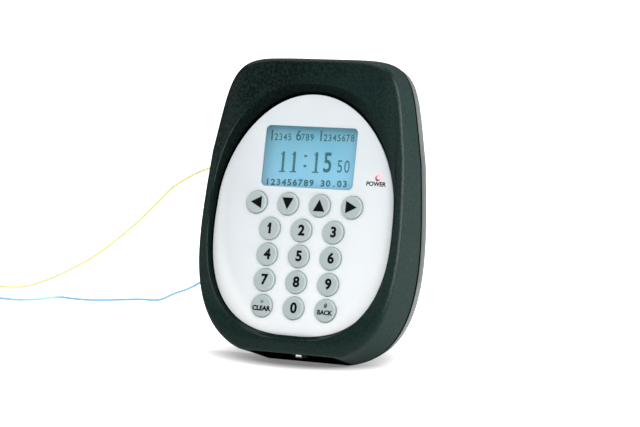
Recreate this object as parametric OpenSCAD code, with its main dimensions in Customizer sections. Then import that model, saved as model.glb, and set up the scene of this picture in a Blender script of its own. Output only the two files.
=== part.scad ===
// Wall time clock with a display, sixteen round keys and two loose supply leads.
// Millimetres. +Z is up, the front looks towards -Y and the wall is the plane Y = 0.
// The origin is the middle of the four wall screws, on the wall.
// The face leans back from the wall plane, so the case is deeper at its foot than at its head.
// Face places are (x, y, z) in the face's own frame: y goes into the case from the panel's
// front surface, z goes up the face, and (0, 0) is the middle of the key in the first number
// row's centre.

/* [Case outline] */
// Width of the front face at the level where its outline turns
face_w = 121.3; // [116:0.1:130]
// How much narrower the face is at its head than at that level, as a share
face_taper = 0.148; // [0.1:0.002:0.18]
// Height of the face's top edge over the first number row
face_top = 99.9; // [98:0.1:104]
// Width of the face's rim under the recess
foot_rim = 7; // [6:0.1:9]
// Level where the face outline turns, over the first number row
face_turn = 43.5; // [36:0.5:48]
// Squareness of the upper corners
face_square_top = 6; // [5:0.1:7]
// Squareness of the lower corners
face_square_foot = 3.15; // [2.9:0.05:3.6]
// How much of the outline's lower end is cut off flat, at the face
face_flat = 3.2; // [2:0.1:4]
// How much of the outline's lower end is cut off flat, at the parting line
parting_flat = 1.5; // [1:0.1:2.5]
// How far the front cover widens from the face to the parting line
case_draft = 2.5; // [2:0.1:3.5]
// How far it widens at the foot
foot_draft = 3.1; // [2:0.1:4]

/* [Case depth] */
// Lean of the face from the wall plane, in degrees
face_lean = 6.5; // [5:0.5:7]
// Distance of the panel's front surface from the wall at the first number row
panel_off_wall = 34; // [33:0.5:40]
// Height of the wall screws' middle over the first number row
wall_mid_up = 12; // [8:1:16]
// Depth of the rear cover
rear_d = 12.5; // [10:0.5:14]
// How far the rear cover narrows from the parting line to the wall
rear_taper = 1.2; // [0.5:0.1:2]
// Wall thickness of both covers
wall = 2.2; // [1.8:0.1:2.6]
// Thickness of the plate that lies on the wall
back_wall = 3; // [2.6:0.1:4]
// Width and depth of the shadow groove at the parting line
groove = 0.8; // [0.5:0.1:1.2]
// Fillet of the front edge at the sides and the top
edge_r = 2.4; // [1.6:0.1:3]
// Fillet of the front edge at the foot
foot_r = 8; // [6:0.5:9]

/* [Recess and panel] */
// Depth of the recess that the panel lies in
recess_d = 5; // [4:0.25:6]
// Width of the recess mouth
recess_w = 115; // [113:0.5:116.5]
// Height of the recess mouth's top over the first number row
recess_top = 85.2; // [84:0.2:88]
// Depth of the recess mouth's bottom under the first number row
recess_foot = 64.1; // [63.6:0.1:65]
// Width of the panel at the level where its outline turns
panel_w = 110; // [108:0.5:111]
// Height of the panel's top over the first number row
panel_top = 79.5; // [78:0.1:81]
// Depth of the panel's bottom under the first number row
panel_foot = 61; // [60:0.1:62]
// Thickness of the panel
panel_t = 1.2; // [0.8:0.1:1.6]
// Gap round the panel
panel_gap = 0.4; // [0.2:0.1:0.6]

/* [Keys] */
// Diameter of a key
key_d = 13.3; // [12.5:0.1:14]
// Pitch of the keys across
key_pitch_x = 20; // [19:0.25:21]
// Pitch of the key rows
key_pitch_z = 15; // [14.75:0.25:15.5]
// How far a key stands out of the panel
key_proud = 1.4; // [0.6:0.1:1.8]
// Gap round a key
key_gap = 0.3; // [0.2:0.05:0.4]
// Chamfer of a key's edge
key_chamfer = 0.5; // [0.3:0.1:0.8]
// Diameter of a key's stem
key_stem_d = 9; // [7:0.5:9]
// Diameter of the contact pill under a key
pill_d = 5; // [3:0.5:6]
// Travel of a key
key_travel = 0.9; // [0.5:0.1:1]
// Thickness of the rubber mat behind the keys
mat_t = 1.2; // [1:0.1:1.6]

/* [Display] */
// Width of the display window
window_w = 58.1; // [52:0.1:59]
// Height of the display window
window_h = 36; // [32:0.1:36.4]
// Corner radius of the display window
window_r = 3; // [1:0.5:5]
// Height of the window's middle over the first number row
window_up = 42.8; // [42.6:0.1:46]
// Thickness of the display window pane
pane_t = 1.5; // [1:0.1:2]
// How far the pane reaches under the panel, all round
pane_lap = 1; // [0.5:0.1:1.2]
// Thickness of the foam gasket behind the pane
gasket_t = 0.8; // [0.5:0.1:1.2]
// Thickness of the display glass
glass_t = 2.2; // [1.8:0.1:2.8]
// Thickness of the backlight
backlight_t = 1.6; // [1.2:0.1:2.5]
// Sheet thickness of the display's metal frame
bezel_t = 0.5; // [0.3:0.1:0.6]
// Width of the display's board
lcd_board_w = 76; // [74:0.5:80]
// Height of the display's board
lcd_board_h = 52; // [50:0.5:54]

/* [Boards and fixings] */
// Thickness of both circuit boards
board_t = 1.6; // [1:0.1:2]
// Distance of the main board's front from the panel's front surface
board_y = 12; // [12:0.1:13]
// Rim of the main board round its screws
board_rim = 6; // [4:0.5:7]
// Gap between the display's spacers and the screw posts
post_gap = 2.8; // [2:0.1:3.5]
// Diameter of the screw posts in the front cover
post_d = 7; // [6:0.5:8]
// Diameter of the main board's screws
board_screw_d = 2.5; // [2:0.1:3]
// Diameter of the display board's screws
lcd_screw_d = 2; // [1.6:0.1:2.2]
// Diameter of the lamp
led_d = 3; // [2.5:0.1:3.2]
// Gap round the lamp
led_gap = 0.1; // [0.05:0.05:0.3]

/* [Wall mounting] */
// Hole spacing of the wall screws across
wall_screw_x = 60; // [50:1:66]
// Hole spacing of the wall screws upwards
wall_screw_z = 110; // [100:1:120]
// Diameter of the wall screw holes
wall_hole_d = 4.5; // [3.5:0.1:5]
// Diameter of the cable outlet
outlet_d = 14; // [12:0.5:16]
// Height of the cable outlet over the wall screws' middle
outlet_up = 30; // [26:1:34]
// Diameter of the lock screw
lock_d = 3; // [2.5:0.1:4]
// Distance of the lock screw's axis from the wall
lock_off_wall = 36; // [34:0.5:37]
// Distance of the lock screw's axis from the case's middle
lock_side = 4; // [0:0.5:8]

/* [Leads] */
// Outer diameter of a lead
lead_d = 1.6; // [1.4:0.1:1.8]
// Distance between the two leads in the outlet
lead_gap = 7; // [6:0.5:8]
// Tilt of the surface that the leads lie on, in degrees
table_tilt = 8; // [7:0.5:9]
// Depth of that surface under the wall screws' middle, at the wall
table_down = 88; // [88:0.5:90]

/* [Hidden] */

// Angle between two points of an outline
outline_step = 5;
// Thickness of a slice that only carries an outline into a blend
film = 0.02;
// Facets of round pieces
fine = 48;
// Small running and assembly gaps
fit_gap = 0.3;

// Face's bottom edge under the first number row
face_foot = recess_foot + foot_rim;

// Outlines: [half width, taper, top, foot, turn level, squareness above, below, flat foot]
face_edge = [face_w / 2, face_taper, face_top, -face_foot, face_turn,
             face_square_top, face_square_foot, face_flat];
panel_edge = [panel_w / 2, 0.12, panel_top, -panel_foot, 19.5, 2.05, 2.6, 0];
recess_edge = [recess_w / 2, -0.04, recess_top, -recess_foot, -3, 2.4, 2.45, 0];

function signed_power(v, p) = sign(v) * pow(abs(v), p);

// One point of an outline, at angle t from its top; out grows it all round. The curve would
// end lower than the foot, where it is cut off flat.
function edge_point(o, t, out) =
    let (n = cos(t) > 0 ? o[5] : o[6],
         c = signed_power(cos(t), 2 / n),
         s = signed_power(sin(t), 2 / n),
         reach = c > 0 ? o[2] + out - o[4] : o[4] - o[3] + o[7] + out)
    [(o[0] * (1 - o[1] * c) + out) * s, max(o[4] + reach * c, o[3] - out)];

function edge(o, out = 0) =
    [for (t = [0 : outline_step : 359]) edge_point(o, t, out)];

// The outline with its foot moved up
function raised_foot(o, up) = [o[0], o[1], o[2], o[3] + up, o[4], o[5], o[6], o[7]];

module slab(points, y0, y1)
    translate([0, y1, 0])
        rotate([90, 0, 0])
            linear_extrude(y1 - y0)
                polygon(points);

module on_face()
    translate([0, -panel_off_wall, -wall_mid_up])
        rotate([-face_lean, 0, 0])
            children();

// A straight round bar or hole along the face's depth
module bar(d, y0, y1)
    translate([0, y0, 0])
        rotate([-90, 0, 0])
            cylinder(h = y1 - y0, d = d, $fn = fine);

module box(w, y0, y1, h)
    translate([-w / 2, y0, -h / 2])
        cube([w, y1 - y0, h]);

// A plate with round corners, from exact boxes and cylinders
module round_plate(w, h, r, y0, y1) {
    box(w - 2 * r, y0, y1, h);
    box(w, y0, y1, h - 2 * r);
    for (x = [-1, 1], z = [-1, 1])
        translate([x * (w / 2 - r), 0, z * (h / 2 - r)])
            bar(2 * r, y0, y1);
}

// Point on the wall frame of a place on the face
function face_place(p) =
    [p[0],
     -panel_off_wall + p[1] * cos(face_lean) + p[2] * sin(face_lean),
     -wall_mid_up - p[1] * sin(face_lean) + p[2] * cos(face_lean)];

// The parting outline lies in a plane parallel to the wall. Its top and foot carry the
// face outline straight back, widened by the draft.
parting_y = -rear_d;
function depth_at(z) = (parting_y + panel_off_wall - z * sin(face_lean)) / cos(face_lean);
function level_at_parting(z) = face_place([0, depth_at(z), z])[2];
parting_top = level_at_parting(face_top + case_draft);
parting_foot = level_at_parting(-face_foot - foot_draft);
parting_edge = [face_w / 2 + case_draft, face_taper, parting_top, parting_foot,
                level_at_parting(face_turn), face_square_top, face_square_foot,
                parting_flat];

// Depth of the fillet along the face's foot
foot_deep = foot_r * 0.8;

// How far the front edge's fillet draws in at depth y behind the face, for a fillet r high
// and d deep
function fillet_inset(r, d, y) = y < d ? r * (1 - sqrt(1 - pow(1 - y / d, 2))) : 0;
function side_inset(y) = fillet_inset(edge_r, edge_r, y);
function foot_inset(y) = fillet_inset(foot_r, foot_deep, y);

// Depths along the face's own frame, from the panel's front surface
face_y = -recess_d;
floor_y = panel_t;
floor_t = 2;
floor_back = floor_y + floor_t;
pane_back = floor_y + pane_t;
gasket_back = floor_back + gasket_t;
glass_y = gasket_back + bezel_t;
backlight_y = glass_y + glass_t;
lcd_board_y = backlight_y + backlight_t;
lcd_board_back = lcd_board_y + board_t;
board_back = board_y + board_t;

// Keys: the stem ends one contact gap before the main board
key_hole_d = key_d + 2 * key_gap;
contact_gap = key_travel + 0.1;
pill_end = board_y - contact_gap;
pill_t = 0.7;
tab_y = floor_back + fit_gap;
tab_t = 1.2;
tab_w = key_d + 3.2;
tab_h = 5;
mat_y = board_y - mat_t;
mat_hole_d = key_stem_d + 1.4;
mat_w = 4 * key_pitch_x - 2;
mat_top = key_pitch_z + mat_hole_d / 2 + 0.7;
mat_foot = -3 * key_pitch_z - mat_hole_d / 2 - 2.8;
mat_r = 4;
number_keys = [for (row = [0 : 3], col = [-1 : 1]) [col * key_pitch_x, -row * key_pitch_z]];
arrow_keys = [for (i = [0 : 3]) [(i - 1.5) * key_pitch_x, key_pitch_z]];
all_keys = concat(number_keys, arrow_keys);

module at_keys()
    for (k = all_keys)
        translate([k[0], 0, k[1]])
            children();

// The lamp beside the display
led_x = 43.8;
led_z = 32.6;

// The display stack behind the window
pane_w = window_w + 2 * pane_lap;
pane_h = window_h + 2 * pane_lap;
bezel_w = pane_w + 5;
bezel_h = pane_h + 3;
gasket_rim = 0.3;
pane_play = 0.4;
glass_w = bezel_w - 2 * bezel_t - 0.4;
glass_h = bezel_h - 2 * bezel_t - 0.4;
lcd_board_up = window_up + 4;
lcd_hole_x = lcd_board_w / 2 - 2.8;
lcd_hole_z = lcd_board_h / 2 - 3;
spacer_d = 5;

module at_lcd_holes()
    for (x = [-1, 1], z = [-1, 1])
        translate([x * lcd_hole_x, 0, lcd_board_up + z * lcd_hole_z])
            children();

// Main board: an upright plate with its lower corners cut off
post_x = lcd_hole_x + spacer_d / 2 + post_gap + post_d / 2;
post_top = 70;
post_foot = -42;
board_side = post_x + board_rim;
board_top = post_top + 8;
board_foot = post_foot - 14;
board_cut = 20;
board_outline = [
    [-board_side, board_top], [board_side, board_top],
    [board_side, board_foot + board_cut], [board_side - board_cut / 2, board_foot],
    [-board_side + board_cut / 2, board_foot], [-board_side, board_foot + board_cut]
];
post_places = [[-post_x, post_top], [post_x, post_top],
               [-post_x, post_foot], [post_x, post_foot]];
board_hole_d = board_screw_d + 0.4;

module at_posts()
    for (p = post_places)
        translate([p[0], 0, p[1]])
            children();

// Lock: the rear cover's tongue reaches along the foot wall to the screw
lock_y = -lock_off_wall;
foot_front = face_place([0, face_y + foot_deep, -face_foot]);
foot_slope = (parting_foot - foot_front[2]) / (parting_y - foot_front[1]);
foot_at_lock = parting_foot + foot_slope * (lock_y - parting_y);
lock_seat = foot_at_lock + 1;
lock_head_d = 4.6;
lock_head_h = 2.2;
tongue_t = 3.4;
tongue_w = 12;
tongue_z = foot_at_lock + wall + 1.9;
insert_d = 5;
tongue_tip = insert_d / 2 + 0.6;
hook_x = 28;
hook_w = 12;
hook_t = 2;
hook_reach = 6;
hook_z = parting_top - wall - 4.4;

// Back face of the rear cover
back_edge_out = -rear_taper - 1;

// Cable outlet: a grommet in a counterbored hole
grommet_d = outlet_d + 5.4;
counterbore_d = outlet_d + 6;
counterbore_t = 1.5;

// FRONT COVER

module cover_outside()
    hull() {
        on_face()
            for (y = [0, edge_r * 0.3, edge_r, foot_deep])
                slab(edge(raised_foot(face_edge, foot_inset(y) - side_inset(y)), -side_inset(y)),
                     face_y + y, face_y + y + film);
        slab(edge(parting_edge), parting_y - film, parting_y);
    }

module cover_inside()
    hull() {
        on_face()
            slab(edge(raised_foot(face_edge, foot_r - edge_r), -wall - edge_r),
                 face_y + wall, face_y + wall + film);
        on_face()
            slab(edge(raised_foot(face_edge, foot_r * 0.1), -wall),
                 face_y + wall + edge_r, face_y + wall + edge_r + film);
        slab(edge(parting_edge, -wall), parting_y, parting_y + 0.1);
    }

// The recess from its mouth down to the panel, grown by out for the wall behind it
module recess(out, front, back)
    hull() {
        slab(edge(recess_edge, out), front, front + film);
        slab(edge(panel_edge, panel_gap + out), back - panel_t, back);
    }

module front_cover()
    color([0.14, 0.19, 0.19])
        difference() {
            union() {
                difference() {
                    cover_outside();
                    difference() {
                        cover_inside();
                        on_face()
                            recess(wall, face_y, floor_back);
                    }
                }
                on_face()
                    at_posts()
                        bar(post_d, face_y + 1.5, board_y);
            }
            on_face() {
                recess(0, face_y - 0.3, floor_y);
                translate([0, 0, window_up])
                    box(pane_w + pane_play, 0, floor_back + 1, pane_h + pane_play);
                at_keys()
                    bar(key_hole_d, 0, floor_back + 1);
                translate([led_x, 0, led_z])
                    bar(led_d + 2 * led_gap, 0, floor_back + 1);
                at_posts()
                    bar(board_screw_d, floor_back + 1, board_y + 1);
            }
            translate([lock_side, lock_y, lock_seat - 6])
                cylinder(h = 6, d = lock_head_d + 0.7, $fn = fine);
            translate([lock_side, lock_y, lock_seat - 1])
                cylinder(h = 6, d = lock_d + 0.4, $fn = fine);
        }

// REAR COVER

module rear_outside() {
    hull() {
        slab(edge(parting_edge), parting_y + groove, parting_y + groove + film);
        slab(edge(parting_edge, -rear_taper), -1.2 - film, -1.2);
    }
    hull() {
        slab(edge(parting_edge, -rear_taper), -1.2 - film, -1.2);
        slab(edge(parting_edge, back_edge_out), -0.4 - film, -0.4);
    }
    slab(edge(parting_edge, back_edge_out), -0.4, 0);
    slab(edge(parting_edge, -groove), parting_y, parting_y + groove + film);
}

module rear_inside()
    hull() {
        slab(edge(parting_edge, -wall - groove), parting_y - 0.1, parting_y);
        slab(edge(parting_edge, -wall - rear_taper - groove), -back_wall - film, -back_wall);
    }

module rear_cover()
    color([0.30, 0.34, 0.34])
        difference() {
            union() {
                difference() {
                    rear_outside();
                    rear_inside();
                }
                translate([lock_side - tongue_w / 2, lock_y - tongue_tip, tongue_z])
                    cube([tongue_w, lock_off_wall + tongue_tip - 1, tongue_t]);
                for (x = [-1, 1])
                    translate([x * hook_x - hook_w / 2, parting_y - hook_reach, hook_z])
                        cube([hook_w, hook_reach + rear_d - 1, hook_t]);
            }
            for (x = [-1, 1], z = [-1, 1])
                translate([x * wall_screw_x / 2, 0, z * wall_screw_z / 2])
                    bar(wall_hole_d, -back_wall - 1, 1);
            translate([0, 0, outlet_up]) {
                bar(outlet_d, -back_wall - 1, 1);
                bar(counterbore_d, -counterbore_t, 1);
            }
            translate([lock_side, lock_y, tongue_z - 1])
                cylinder(h = tongue_t + 2, d = insert_d, $fn = fine);
        }

// PANEL AND DISPLAY

module face_panel()
    color([0.90, 0.93, 0.94])
        on_face()
            difference() {
                slab(edge(panel_edge), 0, panel_t);
                translate([0, 0, window_up])
                    round_plate(window_w, window_h, window_r, -1, panel_t + 1);
                at_keys()
                    bar(key_hole_d, -1, panel_t + 1);
                translate([led_x, 0, led_z])
                    bar(led_d + 2 * led_gap, -1, panel_t + 1);
            }

module display_window()
    color([0.75, 0.88, 0.95, 0.5])
        on_face()
            translate([0, 0, window_up])
                box(pane_w, floor_y, pane_back, pane_h);

module display_gasket()
    color([0.12, 0.12, 0.12])
        on_face()
            translate([0, 0, window_up])
                difference() {
                    box(bezel_w - 2 * gasket_rim, floor_back, gasket_back,
                        bezel_h - 2 * gasket_rim);
                    box(pane_w + pane_play, floor_back - 1, gasket_back + 1,
                        pane_h + pane_play);
                }

module lcd_bezel()
    color([0.70, 0.71, 0.72])
        on_face()
            translate([0, 0, window_up])
                difference() {
                    box(bezel_w, gasket_back, lcd_board_y, bezel_h);
                    box(bezel_w - 2 * bezel_t, glass_y, lcd_board_y + 1, bezel_h - 2 * bezel_t);
                    box(pane_w, gasket_back - 1, glass_y + 1, pane_h);
                }

module lcd_glass()
    color([0.50, 0.75, 0.88])
        on_face()
            translate([0, 0, window_up])
                box(glass_w, glass_y, backlight_y, glass_h);

module lcd_backlight()
    color([0.80, 0.92, 0.98])
        on_face()
            translate([0, 0, window_up])
                box(glass_w, backlight_y, lcd_board_y, glass_h);

module lcd_board()
    color([0.10, 0.35, 0.22])
        on_face()
            difference() {
                translate([0, 0, lcd_board_up])
                    box(lcd_board_w, lcd_board_y, lcd_board_back, lcd_board_h);
                at_lcd_holes()
                    bar(lcd_screw_d + 0.2, lcd_board_y - 1, lcd_board_back + 1);
            }

// The strip of contacts that joins the two boards
contacts = 20;
contact_pitch = 2.54;
module lcd_header()
    color([0.10, 0.10, 0.10])
        on_face()
            translate([0, 0, lcd_board_up + lcd_hole_z])
                box(contacts * contact_pitch, lcd_board_back, board_y, contact_pitch);

module lcd_spacers()
    color([0.85, 0.85, 0.82])
        on_face()
            at_lcd_holes()
                difference() {
                    bar(spacer_d, lcd_board_back, board_y);
                    bar(lcd_screw_d + 0.2, lcd_board_back - 1, board_y + 1);
                }

module lcd_screws()
    color([0.75, 0.75, 0.72])
        on_face()
            at_lcd_holes() {
                bar(lcd_screw_d * 1.9, lcd_board_y - 1.4, lcd_board_y);
                bar(lcd_screw_d, lcd_board_y, board_back);
            }

// KEYS

module keypad_mat()
    color([0.25, 0.27, 0.28])
        on_face()
            difference() {
                translate([0, 0, (mat_top + mat_foot) / 2])
                    round_plate(mat_w, mat_top - mat_foot, mat_r, mat_y, board_y);
                at_keys()
                    bar(mat_hole_d, mat_y - 1, board_y + 1);
            }

module key(place)
    color([0.72, 0.76, 0.76])
        on_face()
            translate([place[0], 0, place[1]]) {
                translate([0, -key_proud, 0])
                    rotate([-90, 0, 0])
                        cylinder(h = key_chamfer, d1 = key_d - 2 * key_chamfer, d2 = key_d,
                                 $fn = fine);
                bar(key_d, key_chamfer - key_proud, tab_y);
                box(tab_w, tab_y, tab_y + tab_t, tab_h);
                bar(key_stem_d, tab_y, pill_end - pill_t);
                bar(pill_d, pill_end - pill_t, pill_end);
            }

module key_1() key(number_keys[0]);
module key_2() key(number_keys[1]);
module key_3() key(number_keys[2]);
module key_4() key(number_keys[3]);
module key_5() key(number_keys[4]);
module key_6() key(number_keys[5]);
module key_7() key(number_keys[6]);
module key_8() key(number_keys[7]);
module key_9() key(number_keys[8]);
module key_clear() key(number_keys[9]);
module key_0() key(number_keys[10]);
module key_back() key(number_keys[11]);
module key_left() key(arrow_keys[0]);
module key_down() key(arrow_keys[1]);
module key_up() key(arrow_keys[2]);
module key_right() key(arrow_keys[3]);

// MAIN BOARD AND WHAT IT CARRIES

module main_board()
    color([0.08, 0.32, 0.18])
        on_face()
            difference() {
                slab(board_outline, board_y, board_back);
                at_posts()
                    bar(board_hole_d, board_y - 1, board_back + 1);
                at_lcd_holes()
                    bar(lcd_screw_d, board_y - 1, board_back + 1);
            }

module board_screws()
    color([0.75, 0.75, 0.72])
        on_face()
            at_posts() {
                bar(board_screw_d * 2, board_back, board_back + 1.8);
                bar(board_screw_d, board_y - 6, board_back);
            }

module power_led()
    color([0.85, 0.20, 0.22])
        on_face()
            translate([led_x, 0, led_z]) {
                translate([0, led_d / 2 - 0.2, 0])
                    sphere(d = led_d, $fn = fine);
                bar(led_d, led_d / 2 - 0.2, floor_back + 3);
                bar(led_d + 0.8, floor_back + 3, floor_back + 4);
                for (x = [-1, 1])
                    translate([x * 0.9, 0, 0])
                        box(0.5, floor_back + 4, board_y, 0.5);
            }

// Places of the parts on the back of the main board: [x, z]
chip_at = [-2, -8];
chip_w = 14;
memory_at = [[20, 8], [20, -8]];
crystal_at = [-20, -22];
board_row = board_side - 8;
capacitor_at = [[-board_row, 40, 8, 10], [-board_row, 28, 8, 10], [-board_row, 18, 6.3, 7]];
regulator_at = [-board_row, -14];
relay_at = [-26, -42];
buzzer_at = [board_side - 12, 46];
cell_at = [-24, 2];
antenna_at = [0, 46];
header_at = [26, -44];

module on_board(place)
    on_face()
        translate([place[0], board_back, place[1]])
            children();

module processor()
    color([0.10, 0.10, 0.11])
        on_board(chip_at) {
            box(chip_w + 2, 0, 0.4, chip_w - 2);
            box(chip_w - 2, 0, 0.4, chip_w + 2);
            box(chip_w, 0, 1.5, chip_w);
        }

module memory_chips()
    color([0.10, 0.10, 0.11])
        for (m = memory_at)
            on_board(m) {
                box(6, 0, 0.4, 4.4);
                box(4, 0, 1.6, 5);
            }

module crystal()
    color([0.78, 0.78, 0.76])
        on_board(crystal_at)
            round_plate(11, 4.6, 2.2, 0, 3.5);

module capacitors()
    color([0.15, 0.18, 0.35])
        for (c = capacitor_at)
            on_board(c)
                bar(c[2], 0, c[3]);

module voltage_regulator()
    color([0.20, 0.20, 0.21])
        on_board(regulator_at) {
            box(10, 0, 4.4, 9);
            translate([0, 0, 7])
                difference() {
                    box(10, 0, 1.2, 6);
                    bar(3.2, -1, 3);
                }
        }

module relay()
    color([0.10, 0.25, 0.55])
        on_board(relay_at)
            box(19, 0, 15, 15.4);

module buzzer()
    color([0.08, 0.08, 0.08])
        on_board(buzzer_at)
            difference() {
                bar(12, 0, 7);
                bar(2, 5, 8);
            }

cell_d = 20;
cell_t = 3.2;
module cell_holder()
    color([0.12, 0.12, 0.12])
        on_board(cell_at)
            difference() {
                bar(cell_d + 3, 0, 4.4);
                bar(cell_d, 1, 5);
                translate([0, 0, cell_d / 2])
                    box(10, 1, 5, 8);
            }

module coin_cell()
    color([0.80, 0.80, 0.78])
        on_board(cell_at)
            bar(cell_d, 1, 1 + cell_t);

antenna_d = 50;
antenna_w = 3;
antenna_t = 2;
module antenna_coil()
    color([0.72, 0.40, 0.20])
        on_board(antenna_at)
            difference() {
                bar(antenna_d, 0, antenna_t);
                bar(antenna_d - 2 * antenna_w, -1, antenna_t + 1);
            }

header_w = 15.2;
header_h = 12;
header_t = 8.4;
plug_t = 7;
module terminal_header()
    color([0.10, 0.45, 0.25])
        on_board(header_at)
            difference() {
                box(header_w, 0, header_t, header_h - 3);
                box(header_w - 2, 1.6, header_t + 1, header_h - 5);
            }

module terminal_plug()
    color([0.12, 0.52, 0.30])
        on_board(header_at)
            difference() {
                union() {
                    box(header_w - 2.2, 1.6, header_t, header_h - 5.2);
                    box(header_w, header_t, header_t + plug_t, header_h);
                }
                for (x = [-1.5 : 1 : 1.5])
                    translate([x * 3.81, 0, 0])
                        bar(2.6, header_t + plug_t - 1.5, header_t + plug_t + 1);
            }

// LOCK AND OUTLET

module lock_screw()
    color([0.80, 0.80, 0.78])
        difference() {
            union() {
                translate([lock_side, lock_y, lock_seat - lock_head_h])
                    cylinder(h = lock_head_h, d = lock_head_d, $fn = fine);
                translate([lock_side, lock_y, lock_seat])
                    cylinder(h = tongue_z + tongue_t - 0.5 - lock_seat, d = lock_d, $fn = fine);
            }
            translate([lock_side, lock_y, lock_seat - lock_head_h - 1])
                cylinder(h = 1.9, d = 2.3, $fn = 6);
        }

module lock_insert()
    color([0.80, 0.62, 0.28])
        translate([lock_side, lock_y, tongue_z])
            difference() {
                cylinder(h = tongue_t, d = insert_d, $fn = fine);
                translate([0, 0, -1])
                    cylinder(h = tongue_t + 2, d = lock_d, $fn = fine);
            }

grommet_in = back_wall + 1.5;
module cable_grommet()
    color([0.08, 0.08, 0.08])
        translate([0, 0, outlet_up])
            difference() {
                union() {
                    bar(grommet_d, -counterbore_t, -0.2);
                    bar(outlet_d, -back_wall, -counterbore_t);
                    bar(outlet_d + 4, -grommet_in, -back_wall);
                }
                for (x = [-1, 1])
                    translate([x * lead_gap / 2, 0, 0])
                        bar(lead_d, -grommet_in - 1, 1);
            }

// LEADS
// Points are chosen by hand. A point [x, y, h] on the table lies y along the table and h
// over it. The table is the tilted surface that the clock stands on when it is propped up.

function on_table_point(p) =
    [p[0],
     p[1] * cos(table_tilt) - p[2] * sin(table_tilt),
     -table_down + p[1] * sin(table_tilt) + p[2] * cos(table_tilt)];
function on_table_points(list) = [for (p = list) on_table_point(p)];

module on_table()
    translate([0, 0, -table_down])
        rotate([table_tilt, 0, 0])
            children();

lead_r = lead_d / 2;
outlet_face = -0.2;

// Coils: two layers of loops, wound in on the lower layer and out again on the upper one
coil_turns = 4.25;
coil_pitch = lead_d + 0.6;
coil_layer = lead_d + 0.6;
coil_in_r = 5.825;
coil_out_r = coil_in_r + coil_pitch * coil_turns / 2;
coil_climb = 0.25;
tie_t = 0.5;
coil_low = lead_r + tie_t;
coil_high = coil_low + coil_layer;
coil_rings = 24;
yellow_mid = [-314, 115.5];
blue_mid = [-293, 77];

function coil_radius(q) = coil_in_r + coil_pitch * abs(q - coil_turns / 2);
function ease(v) = v < 0 ? 0 : v > 1 ? 1 : v * v * (3 - 2 * v);
function coil_height(q) =
    coil_low + coil_layer * ease((q - coil_turns / 2 + coil_climb) / (2 * coil_climb));
function coil_point(q) =
    [coil_radius(q) * cos(90 + 360 * q), coil_radius(q) * sin(90 + 360 * q), coil_height(q)];
coil_steps = round(coil_turns * coil_rings);
coil_loops = [for (i = [0 : coil_steps]) coil_point(i * coil_turns / coil_steps)];
coil_route = concat(
    [[lead_d, coil_out_r, coil_low]],
    coil_loops,
    [[-coil_out_r, -lead_d, coil_high]]
);

// Least gap of the wound tube to itself, between rings that are over half a loop apart
function least_gap(p, skip) =
    min([for (i = [0 : len(p) - 1 - skip]) min([for (j = [i + skip : len(p) - 1])
        norm(p[i] - p[j])])]) - lead_d;
echo(coil_gap = least_gap(coil_route, round(coil_rings / 2)));

// Free stretches: out of the grommet, down behind the case and onto the table
yellow_points = concat(
    [[-lead_gap / 2, outlet_face, outlet_up], [-lead_gap / 2, 3, outlet_up],
     [-lead_gap / 2, 6, outlet_up], [-8, 13, 30], [-18, 19, 30],
     [-34, 24, 29], [-54, 28, 27], [-76, 31, 24], [-97, 34, 21], [-124, 46, 10],
     [-142, 56, -2], [-161, 67, -15], [-182, 78, -28], [-207, 90, -42], [-233, 103, -53],
     [-257, 115, -61.5]],
    on_table_points([[-279, 122.5, 2.4], [-294, 124.5, 1.5],
                     [yellow_mid[0] + 6, yellow_mid[1] + coil_out_r, coil_low],
                     [yellow_mid[0] + lead_d, yellow_mid[1] + coil_out_r, coil_low]])
);
blue_points = concat(
    [[lead_gap / 2, outlet_face, outlet_up], [lead_gap / 2, 3, outlet_up],
     [lead_gap / 2, 6, outlet_up], [0, 13, 28], [-9, 21, 22],
     [-22, 28, 11], [-40, 35, -6], [-61, 42, -24], [-83, 48, -39], [-108, 56, -51],
     [-125, 70, -58], [-143, 86, -63.5]],
    on_table_points([[-163, 104, 2.6], [-182, 113, 1.1], [-199, 112, lead_r],
                     [-216, 109, lead_r], [-230, 108, lead_r], [-242, 104, lead_r],
                     [-253, 97, lead_r], [-265, 90, 1],
                     [blue_mid[0] + 10, blue_mid[1] + coil_out_r, coil_low],
                     [blue_mid[0] + lead_d, blue_mid[1] + coil_out_r, coil_low]])
);

// Tails: from the coil's upper layer down to the ferrule on the table
collar_d = lead_d + 1;
tail_end = -24;
tail_points = [[-coil_out_r, -lead_d, coil_high],
               [-coil_out_r, -2 * lead_d, coil_high],
               [-coil_out_r, -7, coil_high - 0.7],
               [-coil_out_r, -12, 1.9],
               [-coil_out_r, -18, collar_d / 2],
               [-coil_out_r, tail_end + 2, collar_d / 2],
               [-coil_out_r, tail_end, collar_d / 2]];

// A smooth curve through the points, with n short steps from each to the next
function between(a, b, c, d, t) =
    0.5 * (2 * b + (c - a) * t + (2 * a - 5 * b + 4 * c - d) * t * t
           + (3 * b - a - 3 * c + d) * t * t * t);
function smooth_path(p, n) =
    let (last = len(p) - 1)
    concat([for (i = [0 : last - 1], k = [0 : n - 1])
        between(p[max(i - 1, 0)], p[i], p[i + 1], p[min(i + 2, last)], k / n)], [p[last]]);

function unit(v) = v / norm(v);
function heading(p, i) = unit(p[min(i + 1, len(p) - 1)] - p[max(i - 1, 0)]);
function path_length(p) =
    len(p) < 2 ? 0 : [for (i = 0, s = 0; i < len(p); i = i + 1,
        s = i < len(p) ? s + norm(p[i] - p[i - 1]) : s) s][len(p) - 1];

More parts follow.
